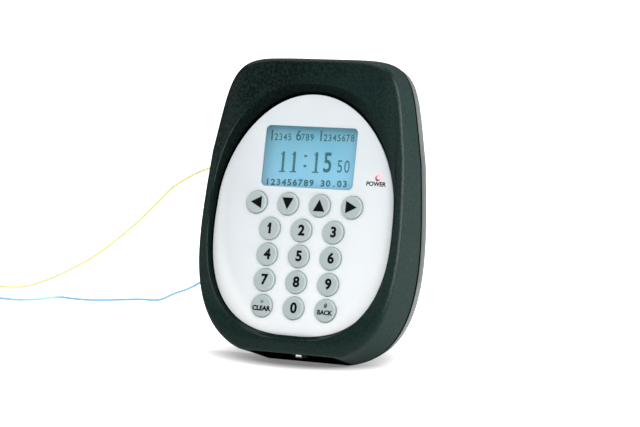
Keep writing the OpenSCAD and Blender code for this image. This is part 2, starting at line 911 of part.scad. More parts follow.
// A tube of some sides along a path, closed at both ends
module tube(path, r, sides) {
    rings = len(path);
    points = [for (i = [0 : rings - 1])
        let (ahead = heading(path, i),
             side = unit(cross(ahead, [0, 0, 1])),
             up = cross(side, ahead))
        for (k = [0 : sides - 1])
            path[i] + r * (cos(360 * k / sides) * side + sin(360 * k / sides) * up)];
    walls = [for (i = [0 : rings - 2], k = [0 : sides - 1])
        let (a = i * sides + k, b = i * sides + (k + 1) % sides)
        for (f = [[a, b, a + sides], [b, b + sides, a + sides]]) f];
    start_cap = [for (k = [1 : sides - 2]) [0, k + 1, k]];
    last = (rings - 1) * sides;
    end_cap = [for (k = [1 : sides - 2]) [last, last + k, last + k + 1]];
    polyhedron(points = points, faces = concat(walls, start_cap, end_cap));
}

yellow_color = [0.93, 0.88, 0.45];
blue_color = [0.30, 0.60, 0.85];
yellow_path = smooth_path(yellow_points, 3);
blue_path = smooth_path(blue_points, 3);
echo(yellow_length = path_length(yellow_path) + path_length(coil_route)
     + path_length(tail_points));
echo(blue_length = path_length(blue_path) + path_length(coil_route)
     + path_length(tail_points));

module yellow_lead()
    color(yellow_color)
        tube(yellow_path, lead_r, 8);

module blue_lead()
    color(blue_color)
        tube(blue_path, lead_r, 8);

module at_coil(mid)
    on_table()
        translate([mid[0], mid[1], 0])
            children();

module yellow_coil()
    color(yellow_color)
        at_coil(yellow_mid)
            tube(coil_route, lead_r, 6);

module blue_coil()
    color(blue_color)
        at_coil(blue_mid)
            tube(coil_route, lead_r, 6);

module yellow_tail()
    color(yellow_color)
        at_coil(yellow_mid)
            tube(tail_points, lead_r, 8);

module blue_tail()
    color(blue_color)
        at_coil(blue_mid)
            tube(tail_points, lead_r, 8);

// A crimped end: a plastic collar and the bare metal pin
collar_h = 5;
pin_d = 1.2;
pin_h = 7;
module ferrule()
    translate([-coil_out_r, tail_end, collar_d / 2])
        rotate([90, 0, 0]) {
            cylinder(h = collar_h, d = collar_d, $fn = 24);
            cylinder(h = collar_h + pin_h, d = pin_d, $fn = 24);
        }

module yellow_ferrule()
    color([0.85, 0.85, 0.83])
        at_coil(yellow_mid)
            ferrule();

module blue_ferrule()
    color([0.85, 0.85, 0.83])
        at_coil(blue_mid)
            ferrule();

// A strap round each coil, across its loops on the side away from the lead's end
tie_w = 2.5;
tie_gap = 0.5;
tie_in = coil_radius(1.75) - lead_r - tie_gap;
tie_out = coil_radius(3.75) + lead_r + tie_gap;
tie_high = coil_high + lead_r + 0.3;
module coil_ties()
    color([0.15, 0.15, 0.16])
        for (mid = [yellow_mid, blue_mid])
            at_coil(mid)
                difference() {
                    translate([tie_in - tie_t, -tie_w / 2, 0])
                        cube([tie_out - tie_in + 2 * tie_t, tie_w, tie_high + tie_t]);
                    translate([tie_in, -tie_w, tie_t])
                        cube([tie_out - tie_in, 2 * tie_w, tie_high - tie_t]);
                }

// The two leads inside the case, from the plug to the outlet
plug_top = face_place([0, board_back + header_t + plug_t / 2, header_at[1] + header_h / 2]);
lead_in_z = plug_top[2];
lead_in_y = plug_top[1];
inner_clear = 0.005;
module inner_lead(shade, side)
    color(shade)
        tube(smooth_path([
            [header_at[0] + side * 4, lead_in_y, lead_in_z],
            [header_at[0] + side * 4, lead_in_y + 0.4, lead_in_z + 4],
            [24 + side * 4, -12, -35], [17.5 + side * 4.5, -11, -12], [8.5 + side * 4.5, -10.5, 8],
            [2 + side * 4, -10.5, outlet_up - 11], [side * lead_gap / 2, -10, outlet_up - 5],
            [side * lead_gap / 2, -8.2, outlet_up - 1], [side * lead_gap / 2, -5.5, outlet_up],
            [side * lead_gap / 2, outlet_face, outlet_up]
        ], 3), lead_r - inner_clear, 8);

module inner_leads() {
    inner_lead(yellow_color, -1);
    inner_lead(blue_color, 1);
}

front_cover();
rear_cover();
face_panel();
display_window();
display_gasket();
lcd_bezel();
lcd_glass();
lcd_backlight();
lcd_board();
lcd_header();
lcd_spacers();
lcd_screws();
keypad_mat();
key_1();
key_2();
key_3();
key_4();
key_5();
key_6();
key_7();
key_8();
key_9();
key_clear();
key_0();
key_back();
key_left();
key_down();
key_up();
key_right();
main_board();
board_screws();
power_led();
processor();
memory_chips();
crystal();
capacitors();
voltage_regulator();
relay();
buzzer();
cell_holder();
coin_cell();
antenna_coil();
terminal_header();
terminal_plug();
inner_leads();
lock_screw();
lock_insert();
cable_grommet();
yellow_lead();
yellow_coil();
yellow_tail();
yellow_ferrule();
blue_lead();
blue_coil();
blue_tail();
blue_ferrule();
coil_ties();
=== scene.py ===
import math

import bmesh
import bpy
from bpy.props import FloatProperty, FloatVectorProperty, PointerProperty, StringProperty
from mathutils import Matrix, Vector


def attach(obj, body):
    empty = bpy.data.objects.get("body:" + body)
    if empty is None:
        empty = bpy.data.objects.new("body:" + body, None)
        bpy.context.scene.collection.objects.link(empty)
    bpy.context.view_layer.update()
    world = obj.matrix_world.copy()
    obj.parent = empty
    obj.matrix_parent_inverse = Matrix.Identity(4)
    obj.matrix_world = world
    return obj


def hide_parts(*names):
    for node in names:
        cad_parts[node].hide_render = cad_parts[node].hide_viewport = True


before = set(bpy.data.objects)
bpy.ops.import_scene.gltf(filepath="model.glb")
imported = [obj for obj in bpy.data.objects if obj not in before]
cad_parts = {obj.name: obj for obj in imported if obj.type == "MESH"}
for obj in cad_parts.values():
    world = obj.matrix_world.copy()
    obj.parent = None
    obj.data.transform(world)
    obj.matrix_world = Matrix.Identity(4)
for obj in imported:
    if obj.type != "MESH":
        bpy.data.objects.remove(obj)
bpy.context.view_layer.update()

bl_info = {
    "name": "Wall Time Clock",
    "version": (1, 0, 0),
    "blender": (4, 5, 0),
    "location": "3D View > Sidebar > Time Clock",
    "description": "Dresses the wall time clock: case, panel, display, keys, leads and stage",
    "category": "Object",
}

CASE = "case"
MM = 0.001


# Properties

def size(name, text, value, low, high):
    """A length that a user would change, in metres."""
    return FloatProperty(name=name, description=text, default=value, min=low, max=high,
                         unit="LENGTH", precision=5)


def turn(name, text, degrees):
    """An angle that a user would change."""
    return FloatProperty(name=name, description=text, default=math.radians(degrees),
                         subtype="ANGLE")


def share(name, text, value, high=1.0):
    """A plain number that a user would change."""
    return FloatProperty(name=name, description=text, default=value, min=0.0, max=high)


def tint(name, text, value):
    """A colour that a user would change."""
    return FloatVectorProperty(name=name, description=text, default=value, size=3,
                               min=0.0, max=1.0, subtype="COLOR")


class CaseSettings(bpy.types.PropertyGroup):
    """Sizes and colours of the two covers"""
    face_lean: turn("Face lean", "Lean of the face from the wall plane", 6.5)
    face_off: size("Face distance", "Panel front to wall at the first number row", 0.034, 0.02, 0.06)
    wall_mid_up: size("Wall middle", "Wall screws' middle over the first number row", 0.012, 0, 0.03)
    face_width: size("Face width", "Width of the front face", 0.1213, 0.1, 0.15)
    face_top: size("Face top", "Face's top edge over the first number row", 0.0999, 0.08, 0.12)
    face_foot: size("Face foot", "Face's bottom edge under the first number row", 0.0711, 0.06, 0.09)
    draft: size("Draft", "Widening of the front cover towards the wall", 0.0025, 0, 0.005)
    foot_draft: size("Foot draft", "That widening at the foot", 0.0031, 0, 0.005)
    rear_depth: size("Rear depth", "Depth of the rear cover", 0.0125, 0.006, 0.02)
    rear_taper: size("Rear taper", "Narrowing of the rear cover towards the wall", 0.0012, 0, 0.004)
    wall: size("Wall", "Wall thickness of both covers", 0.0022, 0.001, 0.004)
    back_wall: size("Back wall", "Thickness of the plate on the wall", 0.003, 0.001, 0.006)
    groove: size("Groove", "Width of the shadow groove between the covers", 0.0008, 0.0002, 0.002)
    edge_radius: size("Edge radius", "Fillet of the front edge at the sides and the top", 0.0024,
                      0.001, 0.004)
    foot_radius: size("Foot radius", "Fillet of the front edge at the foot", 0.008, 0.002, 0.01)
    recess_depth: size("Recess depth", "Depth of the recess round the panel", 0.005, 0.002, 0.008)
    charcoal: tint("Charcoal", "Colour of the front cover", (0.0048, 0.0118, 0.0107))
    # Painted highlight: the colour painted on edges where they catch the light
    edge_grey: tint("Edge grey", "Colour of its edges where they catch the light", (0.075, 0.090, 0.087))
    rear_grey: tint("Rear grey", "Colour of the rear cover", (0.058, 0.070, 0.065))
    grain: share("Grain", "Contrast of the moulded grain", 0.6)


class PanelSettings(bpy.types.PropertyGroup):
    """Sizes and colours of the face panel"""
    width: size("Width", "Width of the panel", 0.110, 0.1, 0.12)
    top: size("Top", "Panel's top over the first number row", 0.0795, 0.07, 0.09)
    foot: size("Foot", "Panel's bottom under the first number row", 0.061, 0.05, 0.07)
    thickness: size("Thickness", "Thickness of the panel", 0.0012, 0.0005, 0.003)
    gap: size("Gap", "Gap round the panel", 0.0004, 0.0001, 0.001)
    white: tint("White", "Colour of the panel", (0.715, 0.765, 0.79))
    ink: tint("Ink", "Colour of the print", (0.003, 0.0035, 0.004))


class DisplaySettings(bpy.types.PropertyGroup):
    """Sizes and colours of the display"""
    window_width: size("Window width", "Width of the display window", 0.0581, 0.04, 0.07)
    window_height: size("Window height", "Height of the display window", 0.036, 0.02, 0.05)
    window_up: size("Window level", "Window's middle over the first number row", 0.0428, 0.03, 0.06)
    corner: size("Corner", "Corner radius of the window", 0.003, 0.0005, 0.006)
    image_turn: turn("Image turn", "How far the image is turned in its window", 1.3)
    lit: tint("Lit colour", "Colour of the lit display", (0.182, 0.452, 0.62))
    shade: tint("Shaded colour", "Colour of the display's dim corner", (0.07, 0.27, 0.36))
    marks: tint("Characters", "Colour of the characters", (0.0, 0.11, 0.135))
    time: StringProperty(name="Hours and minutes", description="Hours and minutes", default="11:15")
    seconds: StringProperty(name="Seconds", description="Seconds", default="50")


class KeySettings(bpy.types.PropertyGroup):
    """Sizes and colours of the keys"""
    diameter: size("Diameter", "Diameter of a key", 0.0133, 0.01, 0.016)
    pitch_x: size("Pitch across", "Pitch of the keys across", 0.020, 0.015, 0.025)
    pitch_z: size("Pitch down", "Pitch of the key rows", 0.015, 0.014, 0.02)
    proud: size("Proud", "How far a key stands out of the panel", 0.0014, 0, 0.003)
    gap: size("Gap", "Gap round a key", 0.0002, 0.0001, 0.001)
    cap: tint("Key colour", "Colour of the keys", (0.41, 0.48, 0.48))
    legend_height: size("Figure height", "Height of a key's figure", 0.0057, 0.003, 0.008)


class LeadSettings(bpy.types.PropertyGroup):
    """Sizes and colours of the two loose leads"""
    diameter: size("Diameter", "Outer diameter of a lead", 0.0016, 0.0012, 0.002)
    yellow: tint("Yellow", "Colour of the yellow lead", (1.0, 0.93, 0.42))
    blue: tint("Blue", "Colour of the blue lead", (0.28, 0.58, 0.86))
    table_tilt: turn("Table tilt", "Tilt of the surface that the leads lie on", 8)
    table_down: size("Table depth", "That surface under the wall screws' middle", 0.088, 0.08, 0.1)


class StageSettings(bpy.types.PropertyGroup):
    """Camera, floor and light"""
    heading: turn("Heading", "How far the camera looks to the left", 23.256)
    pitch: turn("Pitch", "How far the camera looks up", -0.745)
    roll: turn("Roll", "How far the camera's right side is raised", 3.206)
    lens: share("Lens", "Focal length on a 36 mm sensor", 111.54, 300.0)
    ambient: share("Ambient", "Strength of the surrounding light", 0.55, 5.0)
    key_power: share("Main lamp", "Power of the main lamp, in watts", 17.0, 100.0)
    fill_power: share("Fill lamp", "Power of the fill lamp, in watts", 5.0, 100.0)
    side_power: share("Side lamp", "Power of the lamp on the right, in watts", 30.0, 100.0)


SETTINGS = {
    "clock_case": CaseSettings,
    "clock_panel": PanelSettings,
    "clock_display": DisplaySettings,
    "clock_keys": KeySettings,
    "clock_leads": LeadSettings,
    "clock_stage": StageSettings,
}


# Shader maths

class Wire:
    """A shader socket that takes part in arithmetic: each operation adds a Math node."""

    def __init__(self, nodes, socket):
        self.nodes = nodes
        self.socket = socket

    def math(self, operation, *others):
        return self.nodes.node("Math", {"operation": operation},
                               dict(enumerate((self, *others))))

    def __add__(self, other):
        return self.math("ADD", other)

    def __sub__(self, other):
        return self.math("SUBTRACT", other)

    def __mul__(self, other):
        return self.math("MULTIPLY", other)

    def __truediv__(self, other):
        return self.math("DIVIDE", other)

    def __rsub__(self, other):
        return -self + other

    def __neg__(self):
        return self.math("MULTIPLY", -1.0)

    __radd__ = __add__
    __rmul__ = __mul__

    def power(self, other):
        return self.math("POWER", other)

    def largest(self, other):
        return self.math("MAXIMUM", other)

    def absolute(self):
        return self.math("ABSOLUTE")


class Nodes:
    """A tree of shader nodes, and the kinds of node that the finishes share."""

    def __init__(self, tree):
        self.tree = tree
        self.tree.nodes.clear()

    def feed(self, socket, value):
        """Links a wire into a socket, or sets the socket's own value."""
        if isinstance(value, Wire):
            self.tree.links.new(value.socket, socket)
        elif hasattr(value, "__len__") and socket.type == "RGBA" and len(value) == 3:
            socket.default_value = (*value, 1.0)
        else:
            socket.default_value = value

    def node(self, kind, settings=None, inputs=None, output=0):
        """Adds a node of a kind with its settings first, then its inputs, and gives one output,
        or none where the kind has none."""
        made = self.tree.nodes.new("ShaderNode" + kind)
        for key, value in (settings or {}).items():
            setattr(made, key, value)
        for key, value in (inputs or {}).items():
            self.feed(made.inputs[key], value)
        return Wire(self, made.outputs[output]) if made.outputs else None

    def place(self):
        """The surface point in the row frame."""
        return self.node("TexCoord", output="Object")

    def tone(self):
        """The tone that the mesh was given, point by point: painted shade above 0, painted light below
        0.
        """
        return self.node("Attribute", {"attribute_name": "tone"}, output="Fac")

    def split(self, vector):
        """The three parts of a vector."""
        first = self.node("SeparateXYZ", inputs={0: vector})
        return [Wire(self, part) for part in first.socket.node.outputs]

    def away(self, point, spot):
        """The distance between the surface point and a spot."""
        return self.node("VectorMath", {"operation": "DISTANCE"}, {0: point, 1: tuple(spot)},
                         output="Value")

    def noise(self, vector, scale, detail=2.0, roughness=0.5):
        """Soft noise from 0 to 1."""
        return self.node("TexNoise", inputs={"Vector": vector, "Scale": scale, "Detail": detail,
                                             "Roughness": roughness}, output="Fac")

    def cells(self, vector, scale):
        """Distance to the nearest cell middle."""
        return self.node("TexVoronoi", inputs={"Vector": vector, "Scale": scale},
                         output="Distance")

    def mix(self, factor, a, b):
        """A colour between a and b."""
        return self.node("Mix", {"data_type": "RGBA"}, {0: factor, 6: a, 7: b}, output=2)

    def ramp(self, value, low, high, to_low=0.0, to_high=1.0):
        """A value brought smoothly from one range to another."""
        return self.node("MapRange", {"interpolation_type": "SMOOTHSTEP"},
                         {"Value": value, "From Min": low, "From Max": high,
                          "To Min": to_low, "To Max": to_high})

    def bump(self, height, distance):
        """A normal from a height field."""
        return self.node("Bump", inputs={"Height": height, "Distance": distance})

    def eye(self):
        """1 where the eye looks, straight, in a reflection or through glass, and else 0."""
        straight, mirrored, through = (self.node("LightPath", output="Is " + kind + " Ray")
                                       for kind in ("Camera", "Glossy", "Transmission"))
        return straight.largest(mirrored).largest(through)


class Finish(Nodes):
    """One procedural material, built from nodes."""

    def __init__(self, name):
        self.material = bpy.data.materials.new(name)
        self.material.use_nodes = True
        super().__init__(self.material.node_tree)

    def surface(self, **inputs):
        """Ends the material in a Principled surface."""
        named = {key.replace("_", " "): value for key, value in inputs.items()}
        return self.close(self.node("BsdfPrincipled", inputs=named))

    def close(self, shader):
        """Ends the material in a shader."""
        self.node("OutputMaterial", inputs={"Surface": shader})
        return self.material


def shaded(colour, factor):
    """A colour made lighter or darker by a factor."""
    return tuple(min(1.0, part * factor) for part in colour)


WHITE = (1.0, 1.0, 1.0)
DEEP_SHADE = 0.06   # what is left of the charcoal where the tone is 1


def moulded_finish(name, colour, grain_scale, grain_depth, rough):
    """Moulded plastic: fine spark-eroded grain, slight mottling and handling sheen."""
    finish = Finish(name)
    point = finish.place()
    broad = finish.noise(point, 45.0, 3.0)
    fine = finish.noise(point, grain_scale, 3.0, 0.6)
    pits = finish.cells(point, grain_scale * 1.3)
    return finish.surface(
        Base_Color=finish.mix(finish.ramp(fine * 0.7 + broad * 0.3, 0.3, 0.7),
                              shaded(colour, 0.88), shaded(colour, 1.12)),
        Roughness=finish.ramp(broad, 0.3, 0.7, rough - 0.04, rough + 0.05),
        Specular_IOR_Level=0.35,
        Normal=finish.bump(fine * 0.6 + pits * 0.4, grain_depth))


def charcoal_finish(case):
    """Grained charcoal plastic, with painted light a little paler towards its lower right. The
    mesh's own tone darkens it with painted shade where it is above 0, in the recess and under
    the foot, and lightens it with painted highlights below 0, on edges that catch the light."""
    finish = Finish("charcoal_grain")
    point = finish.place()
    x, _, z = finish.split(point)
    tone = finish.tone()
    dark, pale = tone.largest(0.0), (-tone).largest(0.0)
    broad = finish.noise(point, 45.0, 3.0)
    fine = finish.noise(point, 1300.0, 3.0, 0.6)
    pits = finish.cells(point, 1700.0)
    pebbles = finish.noise(point, 720.0, 1.0)
    base = finish.mix(finish.ramp(fine * 0.25 + pebbles * 0.6 + broad * 0.15, 0.4, 0.6),
                      shaded(case.charcoal, 1.0 - case.grain),
                      shaded(case.charcoal, 1.0 + case.grain))
    # Painted light: paler towards the lower right
    lift = finish.ramp(z - x * 0.8, 98 * MM, 45 * MM, 0.0, 0.46)
    base = finish.mix(lift, base, shaded(case.charcoal, 2.4))
    # Painted shade where the tone is above 0, in the recess and under the foot; the coat is taken off
    # there too
    base = finish.mix(dark, base, shaded(case.charcoal, DEEP_SHADE))
    # Painted speckled highlight where the tone is below 0
    speckle = finish.ramp(fine, 0.3, 0.62, 0.25, 1.0)
    base = finish.mix(pale * speckle, base, case.edge_grey)
    return finish.surface(
        Base_Color=base,
        Roughness=finish.ramp(broad, 0.3, 0.7, 0.5, 0.6),
        Specular_IOR_Level=0.0,
        Coat_Weight=(1.0 - dark) * 0.35,
        Coat_Roughness=0.45,
        Coat_IOR=1.2,
        Normal=finish.bump(fine * 0.4 + pits * 0.3 + pebbles * 0.6, 0.00016))


def rear_finish(case):
    """Smoother grey plastic, with painted shade where the mesh's tone is above 0, in the parting groove.
    """
    finish = Finish("rear_satin")
    point = finish.place()
    tone = finish.tone()
    cloud = finish.noise(point, 60.0, 3.0)
    fine = finish.noise(point, 2400.0, 2.0)
    base = finish.mix(finish.ramp(cloud * 0.6 + fine * 0.4, 0.3, 0.7),
                      shaded(case.rear_grey, 0.85), shaded(case.rear_grey, 1.12))
    # Painted shade in the parting groove
    base = finish.mix(tone.largest(0.0), base, shaded(case.charcoal, DEEP_SHADE))
    return finish.surface(
        Base_Color=base,
        Roughness=finish.ramp(fine, 0.2, 0.8, 0.42, 0.52),
        Specular_IOR_Level=0.15,
        Normal=finish.bump(fine, 0.00004))


def metal_finish(name, colour, rough):
    """Plated or drawn metal: faint streaks and small colour drift."""
    finish = Finish(name)
    point = finish.place()
    stretched = finish.node("Mapping", inputs={"Vector": point, "Scale": (1.0, 1.0, 0.06)})
    streak = finish.noise(stretched, 900.0, 3.0)
    drift = finish.noise(point, 120.0, 2.0)
    return finish.surface(
        Base_Color=finish.mix(drift, shaded(colour, 0.88), shaded(colour, 1.08)),
        Metallic=1.0,
        Roughness=finish.ramp(streak, 0.3, 0.7, rough * 0.8, rough * 1.25),
        Normal=finish.bump(streak, 0.00001))


def cord_finish(name, colour):
    """PVC sleeve of a lead: soft gloss, faint drift along it."""
    finish = Finish(name)
    point = finish.place()
    drift = finish.noise(point, 70.0, 3.0)
    fine = finish.noise(point, 2600.0, 2.0)
    return finish.surface(
        Base_Color=finish.mix(drift, shaded(colour, 0.92), shaded(colour, 1.06)),
        Roughness=finish.ramp(fine, 0.2, 0.8, 0.38, 0.5),
        Specular_IOR_Level=0.4,
        Normal=finish.bump(fine, 0.00002))


def board_finish(name):
    """Solder mask over tracks."""
    finish = Finish(name)
    point = finish.place()
    flat = finish.node("Mapping", inputs={"Vector": point, "Rotation": (math.pi / 2, 0.0, 0.0)})
    tracks = finish.node("TexBrick", {"offset": 0.5},
                         {"Vector": flat, "Color1": (0.02, 0.20, 0.09),
                          "Color2": (0.015, 0.16, 0.07), "Mortar": (0.05, 0.34, 0.16),
                          "Scale": 260.0, "Mortar Size": 0.03}, output="Color")
    cloud = finish.noise(point, 300.0, 2.0)
    return finish.surface(
        Base_Color=finish.mix(cloud * 0.3, tracks, (0.01, 0.10, 0.05)),
        Roughness=finish.ramp(cloud, 0.2, 0.8, 0.28, 0.4))


# Places on the face

def settings(name):
    """One of the add-on's groups of sizes and colours."""
    return getattr(bpy.context.scene, name)


def face_frame():
    """The face's own frame: y into the case from the panel's front, z up the face."""
    case = settings("clock_case")
    return (Matrix.Translation((0.0, -case.face_off, -case.wall_mid_up))
            @ Matrix.Rotation(-case.face_lean, 4, "X"))


def on_face(x, y, z):
    """A point given in the face's frame."""
    return face_frame() @ Vector((x, y, z))


def in_row(x, y, z):
    """A point given in the row frame."""
    return Vector((x, y, z))


def face_axis():
    """The direction straight into the face."""
    return on_face(0.0, 1.0, 0.0) - on_face(0.0, 0.0, 0.0)


class Outline:
    """An egg-shaped outline with its own squareness above and below the level where it turns.
    The curve would end lower than the foot, where it is cut off flat."""

    def __init__(self, half, taper, top, foot, turn_at, square_top, square_foot, flat=0.0):
        self.half = half
        self.taper = taper
        self.top = top
        self.foot = foot
        self.turn_at = turn_at
        self.square_top = square_top
        self.square_foot = square_foot
        self.flat = flat

    def point(self, angle, out=0.0, lift=0.0):
        """The point at an angle from the top, with the outline grown by out and its foot
        raised by lift."""
        across, along = math.sin(angle), math.cos(angle)
        square = self.square_top if along > 0 else self.square_foot
        along = math.copysign(abs(along) ** (2 / square), along)
        across = math.copysign(abs(across) ** (2 / square), across)
        foot = self.foot + lift
        reach = self.top - self.turn_at if along > 0 else self.turn_at - foot + self.flat
        return ((self.half * (1 - self.taper * along) + out) * across,
                max(self.turn_at + (reach + out) * along, foot - out))


def ring_on(outline, y, out=0.0, lift=0.0, place=on_face):
    """Sets a ring out along an outline, y deep in the face's frame or in another."""
    def spot(angle):
        x, z = outline.point(angle, out, lift)
        return place(x, y, z)
    return spot


FACE_TAPER = 0.148
FACE_TURN = 43.5 * MM
FACE_FLAT = 3.2 * MM
PARTING_FLAT = 1.5 * MM
SQUARE_TOP = 6.0
SQUARE_FOOT = 3.15


def face_outline():
    case = settings("clock_case")
    return Outline(case.face_width / 2, FACE_TAPER, case.face_top, -case.face_foot, FACE_TURN,
                   SQUARE_TOP, SQUARE_FOOT, FACE_FLAT)


def recess_outline():
    return Outline(half=0.0575, taper=-0.04, top=0.0852, foot=-0.0641, turn_at=-0.003,
                   square_top=2.4, square_foot=2.45)


def panel_outline():
    panel = settings("clock_panel")
    return Outline(half=panel.width / 2, taper=0.12, top=panel.top, foot=-panel.foot,
                   turn_at=0.0195, square_top=2.05, square_foot=2.6)


def parting_outline():
    """The face outline carried straight back to the plane where the covers meet."""
    case = settings("clock_case")
    lean = case.face_lean

    def level(z):
        depth = (case.face_off - case.rear_depth - z * math.sin(lean)) / math.cos(lean)
        return on_face(0.0, depth, z).z

    return Outline(case.face_width / 2 + case.draft, FACE_TAPER,
                   level(case.face_top + case.draft), level(-case.face_foot - case.foot_draft),
                   level(FACE_TURN), SQUARE_TOP, SQUARE_FOOT, PARTING_FLAT)


NUMBER_KEYS = ["key_1", "key_2", "key_3", "key_4", "key_5", "key_6", "key_7", "key_8", "key_9",
               "key_clear", "key_0", "key_back"]
ARROW_TURNS = {"key_left": 90, "key_down": 180, "key_up": 0, "key_right": -90}
LAMP_X, LAMP_Z = 0.0438, 0.0326
LAMP_D, LAMP_GAP = 0.003, 0.1 * MM
WALL_SCREW_X, WALL_SCREW_Z = 30 * MM, 55 * MM
POST_X, POST_TOP, POST_FOOT = 44 * MM, 70 * MM, -42 * MM
LOCK_X, LOCK_Y = 4 * MM, -36 * MM
LOCK_SEAT = -82.848 * MM        # level that the lock screw's head rests on
LOCK_HEAD_R, LOCK_SHANK_R, LOCK_INSERT_R = 2.65 * MM, 1.7 * MM, 2.5 * MM    # its holes
TONGUE_LOW, TONGUE_T = -79.748 * MM, 3.4 * MM
HOOK_X, HOOK_LOW = 28 * MM, 82.013 * MM
RING_STEPS = 288
EDGE_STEPS = 8
INK_T = 0.03 * MM


def number_places():
    keys = settings("clock_keys")
    return [(col * keys.pitch_x, -row * keys.pitch_z) for row in range(4) for col in (-1, 0, 1)]


def arrow_places():
    keys = settings("clock_keys")
    return [((i - 1.5) * keys.pitch_x, keys.pitch_z) for i in range(4)]


def round_holes(key_steps, lamp_steps):
    """The holes for the keys and the lamp: each one's place, radius and number of steps."""
    keys = settings("clock_keys")
    radius = keys.diameter / 2 + keys.gap
    return ([(x, z, radius, key_steps) for x, z in number_places() + arrow_places()]
            + [(LAMP_X, LAMP_Z, LAMP_D / 2 + LAMP_GAP, lamp_steps)])


# Mesh helpers

def placed(name, data):
    """A new object for some data, in the scene."""
    made = bpy.data.objects.new(name, data)
    bpy.context.scene.collection.objects.link(made)
    return made


def mesh_of(bm, name):
    """The mesh of a bmesh, which is then freed."""
    mesh = bpy.data.meshes.new(name)
    bm.to_mesh(mesh)
    bm.free()
    return mesh


def finish_mesh(bm, name, material, sharp=35.0, weld=1e-6):
    """Closes a bmesh: welds doubles, points faces outwards, marks sharp edges, makes the object."""
    bmesh.ops.remove_doubles(bm, verts=bm.verts, dist=weld)
    bmesh.ops.recalc_face_normals(bm, faces=bm.faces)
    limit = math.radians(sharp)
    for face in bm.faces:
        face.smooth = True
    for edge in bm.edges:
        edge.smooth = len(edge.link_faces) == 2 and edge.calc_face_angle(0.0) < limit
    made = placed(name, mesh_of(bm, name))
    made.data.materials.append(material)
    return made


def fit(piece, body, slot, *nodes):
    """A piece rides on a body and stands for CAD nodes, which it hides; its slot is not used."""
    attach(piece, body)
    if nodes:
        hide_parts(*nodes)
    return piece


class Shell:
    """A surface made ring by ring. Every point of a ring keeps its angle round the outline,
    and a tone for its finish: painted shade above 0, painted light below 0."""

    def __init__(self, steps):
        self.bm = bmesh.new()
        self.turn = self.bm.verts.layers.float.new("turn")
        self.tone = self.bm.verts.layers.float.new("tone")
        made = bmesh.ops.create_circle(self.bm, cap_ends=False, radius=1.0, segments=steps)
        for vert in made["verts"]:
            vert[self.turn] = math.atan2(vert.co.x, vert.co.y)
        self.verts = made["verts"]
        self.edges = list(self.bm.edges)
        self.placed = False

    def ring(self, place, tone=lambda angle: 0.0):
        """Goes on to the next ring, set out by place(angle) and toned by tone(angle)."""
        if self.placed:
            made = bmesh.ops.extrude_edge_only(self.bm, edges=self.edges)["geom"]
            self.verts = [g for g in made if isinstance(g, bmesh.types.BMVert)]
            fresh = set(self.verts)
            self.edges = [g for g in made if isinstance(g, bmesh.types.BMEdge)
                          and g.verts[0] in fresh and g.verts[1] in fresh]
        for vert in self.verts:
            vert.co = place(vert[self.turn])
            vert[self.tone] = tone(vert[self.turn])
        self.placed = True
        return list(self.edges)


def circle_edges(bm, radius, segments, place):
    """A free ring of edges, each point (x, z) of it put through place."""
    before = set(bm.edges)
    made = bmesh.ops.create_circle(bm, cap_ends=False, radius=radius, segments=segments)
    for vert in made["verts"]:
        vert.co = place(vert.co.x, vert.co.y)
    return [edge for edge in bm.edges if edge not in before]


def round_rect_edges(bm, width, height, corner, place, segments):
    """A free ring of edges round a rectangle with round corners."""
    before = set(bm.edges)
    made = bmesh.ops.create_circle(bm, cap_ends=False, radius=corner, segments=segments,
                                   matrix=Matrix.Rotation(math.pi / segments, 4, "Z"))
    for vert in made["verts"]:
        x = vert.co.x + math.copysign(width / 2 - corner, vert.co.x)
        z = vert.co.y + math.copysign(height / 2 - corner, vert.co.y)
        vert.co = place(x, z)
    return [edge for edge in bm.edges if edge not in before]


def bridge(bm, rings):
    """Joins each ring of edges to the next."""
    for one, two in zip(rings, rings[1:]):
        bmesh.ops.bridge_loops(bm, edges=one + two)


def fill(bm, edges):
    """Fills a flat ring, or the space between a ring and the holes in it."""
    bmesh.ops.triangle_fill(bm, use_beauty=True, use_dissolve=False, edges=edges)


def spun(bm, profile, axis_point, axis, segments):
    """Spins a profile of (radius, depth) points round an axis, closed at both poles."""
    axis = Vector(axis).normalized()
    side = axis.orthogonal().normalized()
    verts = [bm.verts.new(Vector(axis_point) + side * radius + axis * depth)
             for radius, depth in profile]
    edges = [bm.edges.new(pair) for pair in zip(verts, verts[1:])]
    bmesh.ops.spin(bm, geom=verts + edges, cent=axis_point, axis=axis, dvec=(0.0, 0.0, 0.0),
                   angle=2 * math.pi, steps=segments, use_merge=True, use_normal_flip=False,
                   use_duplicate=False)


def rounded(profile, radius, steps):
    """The profile with each inner corner rounded off, as far as its sides allow."""
    points = [profile[0]]
    for before, here, after in zip(profile, profile[1:], profile[2:]):
        a, b, c = Vector(before), Vector(here), Vector(after)
        reach = min(radius, (a - b).length * 0.45, (c - b).length * 0.45)
        start, end = b + (a - b).normalized() * reach, b + (c - b).normalized() * reach
        for i in range(steps + 1):
            t = i / steps
            points.append(tuple(start.lerp(b, t).lerp(b.lerp(end, t), t)))
    points.append(profile[-1])
    return points


def box_into(bm, low, high, place, bevel=0.0):
    """A block between two corners, set out by place, with its edges bevelled."""
    verts = bmesh.ops.create_cube(bm, size=1.0)["verts"]
    for vert in verts:
        spot = [low[i] + (high[i] - low[i]) * (vert.co[i] + 0.5) for i in range(3)]
        vert.co = place(*spot)
    if bevel:
        edges = list({edge for vert in verts for edge in vert.link_edges})
        bmesh.ops.bevel(bm, geom=edges, offset=bevel, segments=2, profile=0.5,
                        affect="EDGES", material=-1)


